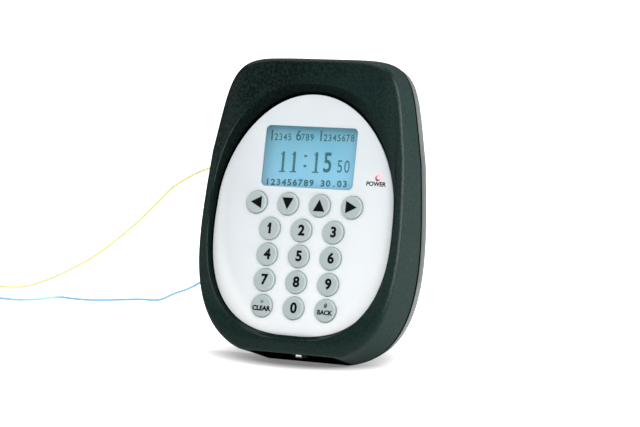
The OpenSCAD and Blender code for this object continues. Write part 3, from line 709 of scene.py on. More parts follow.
def drill(made, steps):
    """Drills the lock screw's stepped hole up through a piece; each step is a cylinder given
    by its two heights and its radius."""
    for low, high, radius in steps:
        bm = bmesh.new()
        bmesh.ops.create_cone(bm, cap_ends=True, cap_tris=False, segments=48, radius1=radius,
                              radius2=radius, depth=high - low,
                              matrix=Matrix.Translation((LOCK_X, LOCK_Y, (low + high) / 2)))
        bit_mesh = mesh_of(bm, "bit")
        bit = placed("bit", bit_mesh)
        hole = made.modifiers.new("hole", "BOOLEAN")
        hole.operation = "DIFFERENCE"
        hole.solver = "EXACT"
        hole.object = bit
        bpy.context.view_layer.update()
        view = bpy.context.evaluated_depsgraph_get()
        cut = bpy.data.meshes.new_from_object(made.evaluated_get(view))
        if len(cut.polygons) <= len(made.data.polygons):
            raise RuntimeError("the lock screw's hole wasn't drilled")
        made.modifiers.clear()
        old, made.data = made.data, cut
        bpy.data.meshes.remove(old)
        bpy.data.objects.remove(bit)
        bpy.data.meshes.remove(bit_mesh)


# Routes of the leads, in metres

def on_table(x, y, h):
    """A point y along the table and h over it."""
    leads = settings("clock_leads")
    tilt = leads.table_tilt
    return Vector((x, y * math.cos(tilt) - h * math.sin(tilt),
                   -leads.table_down + y * math.sin(tilt) + h * math.cos(tilt)))


COIL_TURNS = 4.25
COIL_IN = 5.825 * MM    # radius of the innermost turn
COIL_CLIMB = 0.25       # turns that the climb to the upper layer takes, to either side
STEPS_A_TURN = 36
STEPS_A_POINT = 8       # along the free stretch of a lead
LAYER_GAP = 0.6 * MM
TIE = 0.5 * MM          # thickness of the strap
COLLAR_MORE = 1 * MM    # by which the crimp's collar is thicker than the lead
OUTLET_FACE = -0.2 * MM
OUTLET_UP = 30 * MM
LEAD_APART = 7 * MM
YELLOW_MID = (-314 * MM, 115.5 * MM)
BLUE_MID = (-293 * MM, 77 * MM)
TAIL_END = -24 * MM


def lead_radius():
    return settings("clock_leads").diameter / 2


def collar_radius():
    return (settings("clock_leads").diameter + COLLAR_MORE) / 2


def coil_step():
    """The distance between neighbouring turns, and between the two layers."""
    return settings("clock_leads").diameter + LAYER_GAP


def coil_out():
    """The radius of the outermost turn."""
    return COIL_IN + coil_step() * COIL_TURNS / 2


def coil_low():
    """The height of the lower layer over the table."""
    return lead_radius() + TIE


def ease(v):
    """A smooth rise from 0 to 1 as v goes from 0 to 1."""
    v = min(1.0, max(0.0, v))
    return v * v * (3 - 2 * v)


def coil_route(middle):
    """Loops wound in on the lower layer and out again on the upper one, then the tail."""
    d = settings("clock_leads").diameter
    low, high = coil_low(), coil_low() + coil_step()
    collar, out = collar_radius(), coil_out()
    points = []
    steps = round(COIL_TURNS * STEPS_A_TURN)
    for i in range(steps + 1):
        q = i * COIL_TURNS / steps
        radius = COIL_IN + coil_step() * abs(q - COIL_TURNS / 2)
        angle = math.radians(90 + 360 * q)
        rise = ease((q - COIL_TURNS / 2 + COIL_CLIMB) / (2 * COIL_CLIMB))
        points.append((radius * math.cos(angle), radius * math.sin(angle),
                       low + coil_step() * rise))
    tail = [(-out, -d, high), (-out, -2 * d, high), (-out, -7 * MM, high - 0.7 * MM),
            (-out, -12 * MM, 1.9 * MM), (-out, -18 * MM, collar),
            (-out, TAIL_END + 2 * MM, collar), (-out, TAIL_END, collar)]
    return [on_table(middle[0] + x, middle[1] + y, h) for x, y, h in points + tail]


def free_points(x0, free, table):
    """The stretch from the outlet to the coil: points in the row frame, then on the table."""
    start = [(x0, OUTLET_FACE, OUTLET_UP), (x0, 3 * MM, OUTLET_UP), (x0, 6 * MM, OUTLET_UP)]
    return ([Vector(p) for p in start] + [Vector(p) * MM for p in free]
            + [on_table(*p) for p in table])


def smooth_path(points, steps):
    """A smooth curve through the points, with some short steps from each to the next."""
    path = []
    last = len(points) - 1
    for i in range(last):
        a, b, c, d = (points[max(i - 1, 0)], points[i], points[i + 1], points[min(i + 2, last)])
        for k in range(steps):
            t = k / steps
            path.append(0.5 * (2 * b + (c - a) * t + (2 * a - 5 * b + 4 * c - d) * t * t
                               + (3 * b - a - 3 * c + d) * t ** 3))
    path.append(points[-1])
    return path


def yellow_route():
    out, low = coil_out(), coil_low()
    d = settings("clock_leads").diameter
    x, y = YELLOW_MID
    free = [(-8, 13, 30), (-18, 19, 30), (-34, 24, 29), (-54, 28, 27), (-76, 31, 24),
            (-97, 34, 21), (-124, 46, 10), (-142, 56, -2), (-161, 67, -15), (-182, 78, -28),
            (-207, 90, -42), (-233, 103, -53), (-257, 115, -61.5)]
    table = [(-278 * MM, 123.5 * MM, 3.2 * MM), (-294 * MM, 124.5 * MM, 1.5 * MM),
             (x + 6 * MM, y + out, low), (x + d, y + out, low)]
    start = free_points(-LEAD_APART / 2, free, table)
    return smooth_path(start, STEPS_A_POINT) + coil_route(YELLOW_MID)


def blue_route():
    out, low = coil_out(), coil_low()
    d = settings("clock_leads").diameter
    r = lead_radius()
    x, y = BLUE_MID
    free = [(0, 13, 28), (-9, 21, 22), (-22, 28, 11), (-40, 35, -6), (-61, 42, -24),
            (-83, 48, -39), (-108, 56, -51.5), (-125, 70, -57.6), (-143, 87, -62.3)]
    table = [(-162 * MM, 104 * MM, 5.4 * MM), (-181 * MM, 113 * MM, 2.9 * MM),
             (-199 * MM, 113.5 * MM, 1.2 * MM), (-216 * MM, 107.5 * MM, r),
             (-230 * MM, 107 * MM, r), (-242 * MM, 108 * MM, r), (-252 * MM, 94 * MM, r),
             (-265 * MM, 87 * MM, 1 * MM),
             (x + 10 * MM, y + out, low), (x + d, y + out, low)]
    start = free_points(LEAD_APART / 2, free, table)
    return smooth_path(start, STEPS_A_POINT) + coil_route(BLUE_MID)


def path_length(path):
    return sum((b - a).length for a, b in zip(path, path[1:]))


# Operators

CAMERA_SPOT = (0.460555, -1.080111, 0.013265)


class CLOCK_OT_camera(bpy.types.Operator):
    """Sets the camera at the viewing angle of the reference view"""
    bl_idname = "clock.camera"
    bl_label = "Camera"

    def execute(self, context):
        stage = settings("clock_stage")
        data = bpy.data.cameras.new("camera")
        data.sensor_fit = "HORIZONTAL"
        data.sensor_width = 36.0
        data.lens = stage.lens
        data.clip_end = 100.0
        camera = placed("camera", data)
        camera.matrix_world = (Matrix.Translation(CAMERA_SPOT)
                               @ Matrix.Rotation(stage.heading, 4, "Z")
                               @ Matrix.Rotation(math.pi / 2 + stage.pitch, 4, "X")
                               @ Matrix.Rotation(stage.roll, 4, "Z"))
        context.scene.camera = camera
        context.scene.view_settings.view_transform = "Standard"
        return {"FINISHED"}


def strap(name, middle, material):
    """A thin strap round one coil, with round edges."""
    step, slack = coil_step(), lead_radius() + 0.5 * MM
    inmost, outmost = 1.75, 3.75    # turns after which the coil passes under the strap
    inner = COIL_IN + step * (COIL_TURNS / 2 - inmost) - slack
    outer = COIL_IN + step * (outmost - COIL_TURNS / 2) + slack
    top = coil_low() + step + lead_radius() + 0.3 * MM
    half, corner = 1.25 * MM, 0.6 * MM
    hub_x, hub_y, hub_h = middle[0] + (inner + outer) / 2, middle[1] - half, (TIE + top) / 2
    bm = bmesh.new()

    def place(x, h):
        return on_table(hub_x + x, hub_y, hub_h + h)

    bridge(bm, [round_rect_edges(bm, outer - inner + 2 * grow, top - TIE + 2 * grow,
                                 corner + grow, place, 48) for grow in (0.0, TIE)])
    made = bmesh.ops.extrude_face_region(bm, geom=list(bm.faces), use_keep_orig=True)
    moved = [g for g in made["geom"] if isinstance(g, bmesh.types.BMVert)]
    shift = on_table(0.0, 2 * half, 0.0) - on_table(0.0, 0.0, 0.0)
    bmesh.ops.translate(bm, vec=shift, verts=moved)
    return finish_mesh(bm, name, material)


def ferrule(name, middle, collar_material, pin_material):
    """The crimped end of a lead: a flared collar and the bare pin."""
    collar = collar_radius()
    start = on_table(middle[0] - coil_out(), middle[1] + TAIL_END, collar)
    axis = on_table(0.0, -1.0, 0.0) - on_table(0.0, 0.0, 0.0)
    sleeve = [(0.0, 0.05 * MM), (lead_radius() + 0.02 * MM, 0.0), (collar - 0.1 * MM, 0.0),
              (collar, 0.15 * MM), (collar, 1.6 * MM), (collar * 0.82, 2.6 * MM),
              (collar * 0.8, 4.9 * MM), (0.62 * MM, 5 * MM), (0.0, 5 * MM)]
    pin = [(0.0, 4.8 * MM), (0.6 * MM, 4.8 * MM), (0.6 * MM, 7.4 * MM), (0.52 * MM, 7.7 * MM),
           (0.52 * MM, 8.3 * MM), (0.6 * MM, 8.6 * MM), (0.6 * MM, 11.6 * MM),
           (0.5 * MM, 12 * MM), (0.0, 12 * MM)]
    pieces = []
    for part, profile, steps, material in (("", sleeve, 32, collar_material),
                                           ("_pin", pin, 24, pin_material)):
        bm = bmesh.new()
        spun(bm, profile, start, axis, steps)
        pieces.append(finish_mesh(bm, name + part, material))
    return pieces


class CLOCK_OT_leads(bpy.types.Operator):
    """Lays the two loose leads with their coils, ties and crimped ends"""
    bl_idname = "clock.leads"
    bl_label = "Leads"

    def execute(self, context):
        leads = settings("clock_leads")
        tie_black = moulded_finish("tie_nylon", (0.02, 0.02, 0.022), 1500.0, 0.00001, 0.4)
        tin = metal_finish("tinned_pin", (0.78, 0.78, 0.76), 0.28)
        for colour, route, middle in (("yellow", yellow_route(), YELLOW_MID),
                                      ("blue", blue_route(), BLUE_MID)):
            shade = getattr(leads, colour)
            curve = bpy.data.curves.new(colour + "_cord", "CURVE")
            curve.dimensions = "3D"
            curve.bevel_depth = lead_radius()
            curve.bevel_resolution = 4
            curve.use_fill_caps = True
            spline = curve.splines.new("POLY")
            spline.points.add(len(route) - 1)
            for spot, point in zip(spline.points, route):
                spot.co = (*point, 1.0)
            curve.materials.append(cord_finish(colour + "_sleeve", shade))
            cord = placed(colour + "_cord", curve)
            fit(cord, CASE, "lead_" + colour, colour + "_lead", colour + "_coil", colour + "_tail")
            crimped = moulded_finish(colour + "_collar", shaded(shade, 0.9), 1500.0, 0.00001, 0.4)
            collar, pin = ferrule(colour + "_crimp", middle, crimped, tin)
            fit(collar, CASE, "ferrule", colour + "_ferrule")
            fit(pin, CASE, "ferrule")
            tie = strap(colour + "_tie", middle, tie_black)
            fit(tie, CASE, "black_plastic", "coil_ties")
            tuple(route[0])
            round(path_length(route), 3)
        return {"FINISHED"}


class CLOCK_OT_stage(bpy.types.Operator):
    """Lays the floor and sets the lamps and the surrounding light"""
    bl_idname = "clock.stage"
    bl_label = "Stage"

    def execute(self, context):
        stage = settings("clock_stage")
        bm = bmesh.new()
        bmesh.ops.create_grid(bm, x_segments=1, y_segments=1, size=30.0)
        for vert in bm.verts:
            vert.co = on_table(vert.co.x, vert.co.y, -0.02 * MM)
        floor = placed("floor", mesh_of(bm, "floor"))
        floor.data.materials.append(self.floor_finish())
        self.surroundings(context, stage)
        self.lamp("main_lamp", (1.0, -1.15, 1.25), 1.1, stage.key_power)
        self.lamp("fill_lamp", (-1.1, -1.1, 0.9), 1.0, stage.fill_power)
        self.lamp("side_lamp", (1.6, 0.16, 0.4), 0.4, stage.side_power)
        return {"FINISHED"}

    def floor_finish(self):
        """Pale floor that the eye sees as white, with the object's soft shadow on it, partly
        painted as a darker floor colour near the object. It shows from above alone, so a low
        view isn't hidden."""
        finish = Finish("floor_white")
        point = finish.place()
        cloud = finish.noise(point, 6.0, 2.0)
        x, y, _ = finish.split(point)
        shadow_left, half_w, half_d = 9 * MM, 78 * MM, 36 * MM
        across = (x + shadow_left) / half_w
        along = (y * 0.75 - y.absolute() * 0.25) / half_d
        near = finish.ramp((across * across + along * along).power(0.5), 0.5, 1.1)
        # Painted shadow: the floor's own colour is darker near the object
        base = finish.mix(near + cloud * 0.02, (0.60, 0.60, 0.60), (0.92, 0.92, 0.92))
        plain = finish.node("BsdfPrincipled", inputs={"Base Color": base, "Roughness": 0.9,
                                                      "Specular IOR Level": 0.0})
        shades = []
        for strength in (0.19, 1.0):    # in the shadow and outside it
            glow = finish.node("Emission", inputs={"Color": WHITE, "Strength": strength})
            shades.append(finish.node("AddShader", inputs={0: plain, 1: glow}))
        seen = finish.node("MixShader", inputs={0: near, 1: shades[0], 2: shades[1]})
        lit = finish.node("MixShader", inputs={0: finish.eye(), 1: plain, 2: seen})
        under = finish.node("NewGeometry", output="Backfacing")
        clear = finish.node("BsdfTransparent")
        return finish.close(finish.node("MixShader", inputs={0: under, 1: lit, 2: clear}))

    def surroundings(self, context, stage):
        """A pale surround: white to the eye, and dimmer as a light."""
        world = bpy.data.worlds.new("surround")
        context.scene.world = world
        world.use_nodes = True
        nodes = Nodes(world.node_tree)
        light, white = (nodes.node("Background", inputs={"Color": WHITE, "Strength": strength})
                        for strength in (stage.ambient, 1.0))
        both = nodes.node("MixShader", inputs={0: nodes.eye(), 1: light, 2: white})
        nodes.node("OutputWorld", inputs={"Surface": both})

    def lamp(self, name, spot, width, power):
        """A large square lamp that looks at the clock."""
        data = bpy.data.lights.new(name, "AREA")
        data.shape = "SQUARE"
        data.size = width
        data.energy = power
        lamp = placed(name, data)
        lamp.location = spot
        lamp.rotation_euler = (-Vector(spot)).to_track_quat("-Z", "Y").to_euler()


class CLOCK_OT_front_cover(bpy.types.Operator):
    """Builds the grained front cover with its sunk recess"""
    bl_idname = "clock.front_cover"
    bl_label = "Front Cover"

    def execute(self, context):
        case = settings("clock_case")
        panel = settings("clock_panel")
        face, mouth, sheet, parting = (face_outline(), recess_outline(), panel_outline(),
                                       parting_outline())
        face_y = -case.recess_depth
        floor_y = panel.thickness
        floor_back = floor_y + 2 * MM
        wall, edge_r, foot_r = case.wall, case.edge_radius, case.foot_radius
        parting_y = -case.rear_depth
        shell = Shell(RING_STEPS)

        def flat(y, out=0.0):
            return ring_on(parting, y, out, place=in_row)

        def fillet(turned):
            """The front edge, rounder at the foot than at the sides."""
            def place(angle):
                foot = ease((-math.cos(angle) - 0.35) / 0.6)
                depth = edge_r + (foot_r * 0.8 - edge_r) * foot
                drawn = 1 - math.cos(turned)
                x, z = face.point(angle, -edge_r * drawn, foot * (foot_r - edge_r) * drawn)
                return on_face(x, face_y + depth * (1 - math.sin(turned)), z)
            return place

        # Tone 1 is full painted shade: on the recess floor and at the rim where the covers meet
        def deep(angle):
            return 1.0

        def wall_tone(value):
            """The recess wall in painted shade, less of it on the right, and painted lighter at the
            foot.
            """
            def tone(angle):
                foot = ease((-math.cos(angle) - 0.8) / 0.18)
                right = ease((math.sin(angle) - 0.3) / 0.5)
                dark = value - 0.25 * ease(-math.cos(angle)) - 0.6 * (1.2 - value) * right
                return dark * (1 - foot) - 0.45 * foot
            return tone

        def mouth_tone(angle):
            """A painted highlight on the recess mouth, where it catches the light on the left, and
            faintly on the right.
            """
            left = max(0.0, -math.sin(angle))
            return -0.9 * ease((left - 0.55) / 0.4) - 0.25 * ease((math.sin(angle) - 0.8) / 0.2)

        def band_tone(angle):
            """The narrow band beside the recess is a little paler."""
            return -0.13 * ease((abs(math.sin(angle)) - 0.6) / 0.3)

        def edge_tone(angle, catch):
            """A painted highlight where the face's edge catches the light: a thin line on the right,
            more widely at the top, and a little at the foot. Catch is 1 halfway round the edge."""
            right = ease((math.sin(angle) - 0.72) / 0.25)
            top, foot = (ease((way * math.cos(angle) - 0.7) / 0.25) for way in (1, -1))
            return -max(0.9 * right * catch ** 5, 0.7 * top * catch, 0.1 * foot * catch)

        def side_tone(angle):
            """Painted light: the side walls a little paler; painted shade: the flat foot in full shade.
            """
            if parting.point(angle)[1] < parting.foot + 0.5 * MM:
                return 1.0
            return -0.1 * ease((abs(math.sin(angle)) - 0.3) / 0.5)

        front_floor = shell.ring(ring_on(sheet, floor_y, panel.gap), deep)
        shell.ring(ring_on(sheet, floor_y - 0.2 * MM, panel.gap), deep)
        mouth_r = 0.5 * MM
        slope_from = ring_on(sheet, 0.0, panel.gap)
        slope_to = ring_on(mouth, face_y)
        # How far up the recess wall each ring lies, and its tone of painted shade
        for share_up, tone in ((0.0, 1.0), (0.17, 1.0), (0.24, 0.6), (0.6, 0.5), (0.93, 0.4)):
            shell.ring(lambda angle, s=share_up: slope_from(angle).lerp(slope_to(angle), s),
                       wall_tone(tone))
        for turned, y in ((0.15, 0.12), (0.5, 0.02)):
            shell.ring(ring_on(mouth, face_y + y * mouth_r, turned * mouth_r), mouth_tone)
        shell.ring(ring_on(mouth, face_y, mouth_r), band_tone)
        for step in range(EDGE_STEPS + 1):
            catch = math.sin(math.pi * step / EDGE_STEPS)
            shell.ring(fillet(math.radians(90 - 90 * step / EDGE_STEPS)),
                       lambda angle, c=catch: min(edge_tone(angle, c), band_tone(angle) * (1 - c)))
        side_top = fillet(0.0)
        rim = flat(parting_y - 0.35 * MM)
        # How far down the side each ring lies, and its tone of painted light or shade: the last ones
        # turn into the rim
        for share_down, tone in ((0.04, side_tone), (0.5, side_tone), (0.955, side_tone),
                                 (0.972, deep)):
            shell.ring(lambda angle, s=share_down: side_top(angle).lerp(rim(angle), s), tone)
        shell.ring(rim, deep)
        for y, out in ((-0.1 * MM, -0.1 * MM), (0.0, -0.35 * MM), (0.0, -wall)):
            shell.ring(flat(parting_y + y, out), deep)
        shell.ring(ring_on(face, face_y + wall + edge_r, -wall, foot_r * 0.1))
        shell.ring(ring_on(face, face_y + wall, -wall - edge_r, foot_r - edge_r))
        shell.ring(ring_on(mouth, face_y + wall, wall))
        back_floor = shell.ring(ring_on(sheet, floor_back, panel.gap + wall))
        self.floor_holes(shell, front_floor, back_floor, floor_y, floor_back)
        grain = charcoal_finish(case)
        cover = finish_mesh(shell.bm, "front_shell", grain, 30.0)
        drill(cover, [(LOCK_SEAT - 6 * MM, LOCK_SEAT, LOCK_HEAD_R),
                      (LOCK_SEAT - 1 * MM, LOCK_SEAT + 5 * MM, LOCK_SHANK_R)])
        fit(cover, CASE, "cover_plastic", "front_cover")
        bore, post_r, post_end = 1.25 * MM, 3.5 * MM, 12 * MM
        places = [(x, z) for z in (POST_TOP, POST_FOOT) for x in (-POST_X, POST_X)]
        for number, (x, z) in enumerate(places, 1):
            post = bmesh.new()
            profile = [(bore, floor_back + 1 * MM), (bore, post_end), (post_r, post_end),
                       (post_r, floor_back - 0.2 * MM), (bore, floor_back - 0.2 * MM),
                       (bore, floor_back + 1 * MM)]
            spun(post, profile, on_face(x, 0.0, z), face_axis(), 40)
            fit(finish_mesh(post, "screw_post_" + str(number), grain), CASE, "cover_plastic")
        return {"FINISHED"}

    def floor_holes(self, shell, front_floor, back_floor, floor_y, floor_back):
        """Closes the recess floor front and back round the holes of keys, window and lamp."""
        bm = shell.bm
        display = settings("clock_display")
        fronts, backs = list(front_floor), list(back_floor)

        def both(ring):
            pair = [ring(lambda x, z: on_face(x, y, z)) for y in (floor_y, floor_back)]
            bridge(bm, pair)
            fronts.extend(pair[0])
            backs.extend(pair[1])

        for x0, z0, radius, steps in round_holes(48, 24):
            both(lambda place: circle_edges(
                bm, radius, steps, lambda x, z: place(x0 + x, z0 + z)))
        more, corner = 2 * (PANE_MORE + PANE_GAP), 0.2 * MM
        both(lambda place: round_rect_edges(
            bm, display.window_width + more, display.window_height + more, corner,
            lambda x, z: place(x, display.window_up + z), 16))
        # Painted shade on the front of the recess floor, round the holes
        for edge in fronts:
            for vert in edge.verts:
                vert[shell.tone] = 1.0
        fill(bm, fronts)
        fill(bm, backs)


class CLOCK_OT_rear_cover(bpy.types.Operator):
    """Builds the smooth rear cover with its wall holes and outlet"""
    bl_idname = "clock.rear_cover"
    bl_label = "Rear Cover"

    def execute(self, context):
        case = settings("clock_case")
        parting = parting_outline()
        parting_y, groove, taper = -case.rear_depth, case.groove, case.rear_taper
        wall, back_wall = case.wall, case.back_wall
        shell = Shell(RING_STEPS)

        def flat(y, out):
            return ring_on(parting, y, out, place=in_row)

        inner_back = shell.ring(flat(-back_wall, -wall - taper - groove))
        groove_y = parting_y + groove
        # Each ring's depth and how far the outline is grown there: the inner edge, the groove,
        # the side and the rounded edge at the wall
        stations = [(parting_y, -wall - groove), (parting_y, -groove - 0.1 * MM),
                    (parting_y + 0.1 * MM, -groove), (groove_y - 0.1 * MM, -groove),
                    (groove_y, -groove + 0.1 * MM), (groove_y, -0.3 * MM),
                    (groove_y + 0.09 * MM, -0.09 * MM), (groove_y + 0.3 * MM, 0.0),
                    (-1.2 * MM, -taper),
                    (-0.7 * MM, -taper - 0.2 * MM), (-0.3 * MM, -taper - 0.55 * MM),
                    (-0.06 * MM, -taper - 0.95 * MM), (0.0, -taper - 1.4 * MM)]
        for y, out in stations:
            # Painted shade on the rim and in the parting groove
            dark = 1.0 if y < groove_y + 0.2 * MM else 0.0
            back = shell.ring(flat(y, out), lambda angle, t=dark: t)
        bm = shell.bm
        backs, inners = list(back), list(inner_back)
        screw_hole = [(2.25 * MM, -back_wall), (2.25 * MM, -0.35 * MM), (2.6 * MM, 0.0)]
        outlet = [(7 * MM, -back_wall), (7 * MM, -1.5 * MM), (10 * MM, -1.5 * MM),
                  (10 * MM, -0.3 * MM), (10.3 * MM, 0.0)]
        holes = [(x, z, screw_hole, 40) for x in (-WALL_SCREW_X, WALL_SCREW_X)
                 for z in (-WALL_SCREW_Z, WALL_SCREW_Z)]
        for x0, z0, profile, steps in holes + [(0.0, OUTLET_UP, outlet, 72)]:
            rings = [circle_edges(bm, r, steps, lambda x, z: in_row(x0 + x, y, z0 + z))
                     for r, y in profile]
            bridge(bm, rings)
            inners.extend(rings[0])
            backs.extend(rings[-1])
        fill(bm, inners)
        fill(bm, backs)
        smooth = rear_finish(case)
        cover = finish_mesh(bm, "rear_shell", smooth, 30.0)
        fit(cover, CASE, "rear_plastic", "rear_cover")
        half_w, root_y, lip_y, hook_t = 6 * MM, -1 * MM, LOCK_Y - 3.1 * MM, 2 * MM
        block = bmesh.new()
        box_into(block, (LOCK_X - half_w, lip_y, TONGUE_LOW),
                 (LOCK_X + half_w, root_y, TONGUE_LOW + TONGUE_T), in_row)
        tongue = finish_mesh(block, "lock_tongue", smooth)
        drill(tongue, [(TONGUE_LOW - 1 * MM, TONGUE_LOW + TONGUE_T + 1 * MM, LOCK_INSERT_R)])
        fit(tongue, CASE, "rear_plastic")
        for x, name in ((-HOOK_X, "left"), (HOOK_X, "right")):
            hook = bmesh.new()
            box_into(hook, (x - half_w, parting_y - 6 * MM, HOOK_LOW),
                     (x + half_w, root_y, HOOK_LOW + hook_t), in_row, 0.2 * MM)
            fit(finish_mesh(hook, "hook_" + name, smooth), CASE, "rear_plastic")
        return {"FINISHED"}


class CLOCK_OT_panel(bpy.types.Operator):
    """Builds the white face panel and its print"""
    bl_idname = "clock.panel"
    bl_label = "Face Panel"

    def execute(self, context):
        panel = settings("clock_panel")
        display = settings("clock_display")
        sheet = panel_outline()
        shell = Shell(RING_STEPS)
        back_y = panel.thickness
        soft = 0.2 * MM

        def softened(radius, degrees):
            """How far the front edge is drawn in, and its depth, at steps round its radius."""
            return [(radius * (1 - math.cos(a)), radius * (1 - math.sin(a)))
                    for a in (math.radians(t) for t in degrees)]

        back = shell.ring(ring_on(sheet, back_y))
        for drawn, y in softened(soft, (0, 30, 60, 90)):
            front = shell.ring(ring_on(sheet, y, -drawn))
        bm = shell.bm
        fronts, backs = list(front), list(back)

        def hole(ring):
            """A hole whose front edge is softened."""
            rings = [ring(grow, lambda x, z: on_face(x, y, z))
                     for grow, y in [(0.0, back_y), *softened(soft / 2, (0, 45, 90))]]
            bridge(bm, rings)
            backs.extend(rings[0])
            fronts.extend(rings[-1])

        for x0, z0, radius, steps in round_holes(64, 32):
            hole(lambda grow, place: circle_edges(
                bm, radius + grow, steps, lambda x, z: place(x0 + x, z0 + z)))
        hole(lambda grow, place: round_rect_edges(
            bm, display.window_width + 2 * grow, display.window_height + 2 * grow,
            display.corner + grow, lambda x, z: place(x, display.window_up + z), 64))
        fill(bm, fronts)
        fill(bm, backs)
        made = finish_mesh(bm, "panel_sheet", self.panel_finish(panel), 40.0)
        fit(made, CASE, "panel_white", "face_panel")
        word = print_signs([("POWER", 2.4 * MM, 1.0, LAMP_X - 0.5 * MM, 28.0 * MM)], -0.015 * MM,
                           "lamp_word", ink_finish("panel_ink", panel.ink), 0.05)
        fit(word, CASE, "panel_white")
        return {"FINISHED"}

    def panel_finish(self, panel):
        """Satin printed sheet, with painted light: lighter towards the bottom, darker on the left, a
        paler rim at the lower left, and a painted glow of the lamp round its hole.
        """
        finish = Finish("panel_print")
        point = finish.place()
        cloud = finish.noise(point, 30.0, 3.0)
        fine = finish.noise(point, 1800.0, 2.0)
        tone = finish.mix(finish.ramp(cloud * 0.6 + fine * 0.4, 0.25, 0.75),
                          shaded(panel.white, 0.985), shaded(panel.white, 1.015))
        x, _, z = finish.split(point)
        # Painted light: lighter towards the bottom
        tone = finish.mix(finish.ramp(z - x * 0.3, 40 * MM, -75 * MM, 0.0, 0.75), tone,
                          (0.9, 0.93, 0.95))
        # Painted shade: darker on the left
        tone = finish.mix(finish.ramp(-x - z * 0.1, 0.0, 60 * MM, 0.0, 0.42), tone,
                          shaded(panel.white, 0.86))
        # Painted light: a paler rim at the lower left
        half_w, half_h, mid_z = 55 * MM, 70 * MM, -2.8 * MM
        across, along = x / half_w, (z - mid_z) / half_h
        rim = finish.ramp((across * across + along * along).power(0.5), 0.88, 1.0)
        low_left = finish.ramp(z + x * 0.8, 0.0, -45 * MM, 0.0, 0.7)
        tone = finish.mix(rim * low_left, tone, (0.95, 0.97, 0.98))
        # Painted glow of the lamp round its hole
        away = finish.away(point, on_face(LAMP_X + 0.9 * MM, 0.0, LAMP_Z + 0.8 * MM))
        halo = finish.ramp(away, 6.5 * MM, 1.2 * MM)
        tone = finish.mix(halo * halo * 0.7, tone, (1.0, 0.68, 0.76))
        return finish.surface(
            Base_Color=tone,
            Roughness=finish.ramp(fine, 0.2, 0.8, 0.42, 0.5),
            Specular_IOR_Level=0.3,
            Normal=finish.bump(fine, 0.00001))


def ink_finish(name, colour):
    """Printed ink: nearly flat, a little uneven in its sheen."""
    finish = Finish(name)
    point = finish.place()
    fine = finish.noise(point, 2500.0, 2.0)
    return finish.surface(
        Base_Color=finish.mix(fine, shaded(colour, 0.8), shaded(colour, 1.2)),
        Roughness=finish.ramp(fine, 0.2, 0.8, 0.45, 0.6),
        Specular_IOR_Level=0.04)


def text_mesh(text, height, stretch, bold):
    """The mesh of a word or figure, its middle over the origin and its foot on y = 0."""
    data = bpy.data.curves.new("words", "FONT")
    data.body = text
    data.align_x = "CENTER"
    data.extrude = INK_T / 2
    data.size = 1.0
    data.resolution_u = 6
    source = placed("words", data)
    bpy.context.view_layer.update()
    data.size = height / source.dimensions.y
    data.offset = bold * height
    bpy.context.view_layer.update()
    view = bpy.context.evaluated_depsgraph_get()
    mesh = bpy.data.meshes.new_from_object(source.evaluated_get(view))
    bpy.data.objects.remove(source)
    low = min(vert.co.y for vert in mesh.vertices)
    left = min(vert.co.x for vert in mesh.vertices)
    right = max(vert.co.x for vert in mesh.vertices)
    for vert in mesh.vertices:
        vert.co.x = (vert.co.x - (left + right) / 2) * stretch
        vert.co.y -= low
    return mesh


def print_signs(signs, y, name, material, bold=0.0, turned=0.0, middle=(0.0, 0.0)):
    """Characters or words printed on the face at depth y, as one piece. Each sign is
    (text, height, stretch, x, z), centred on x with its foot at z; all are turned round a
    middle."""
    bm = bmesh.new()
    spin = Matrix.Rotation(turned, 2)
    hub = Vector(middle)
    for text, height, stretch, x, z in signs:
        mesh = text_mesh(text, height, stretch, bold)
        for vert in mesh.vertices:
            flat = spin @ (Vector((x + vert.co.x, z + vert.co.y)) - hub) + hub
            vert.co = on_face(flat.x, y - vert.co.z, flat.y)
        bm.from_mesh(mesh)
        bpy.data.meshes.remove(mesh)
    return finish_mesh(bm, name, material, 30.0, 1e-7)


def key_cap(name, x0, z0, material):
    """One key: flat cap with a chamfered rim, flange, stem and contact pill."""
    keys = settings("clock_keys")
    proud, r = keys.proud, keys.diameter / 2
    to_face = face_frame().inverted()
    tab_y, tab_t, tab_half, tab_out = 3.5 * MM, 1.2 * MM, 2.5 * MM, 1.6 * MM
    stem_r, pill_r, pill_t, pill_end = 4.5 * MM, 2.5 * MM, 0.7 * MM, 11.0 * MM
    chamfer = 0.5 * MM
    top = [(0.0, -proud), (r - chamfer - 0.55 * MM, -proud), (r - chamfer, -proud + 0.03 * MM),
           (r, -proud + chamfer + 0.1 * MM), (r, tab_y), (stem_r, tab_y),
           (stem_r, pill_end - pill_t), (pill_r, pill_end - pill_t), (pill_r, pill_end),
           (0.0, pill_end)]
    bm = bmesh.new()
    middle = on_face(x0, 0.0, z0)
    spun(bm, rounded(top, 0.22 * MM, 3), middle, face_axis(), 72)
    # Painted highlight on the right of the chamfer, set as the tone
    tone = bm.verts.layers.float.new("tone")
    for vert in bm.verts:
        spot = to_face @ vert.co
        across, along = spot.x - x0, spot.z - z0
        off = abs(math.hypot(across, along) - (r - chamfer - 0.1 * MM)) / (0.5 * MM)
        if spot.y < 0.0 and off < 1.0:
            vert[tone] = (1.0 - off) * ease((across + 0.1 * along) / r + 0.1)
    box_into(bm, (x0 - r - tab_out, tab_y, z0 - tab_half),
             (x0 + r + tab_out, tab_y + tab_t, z0 + tab_half), on_face, 0.2 * MM)
    return finish_mesh(bm, name, material, 28.0)


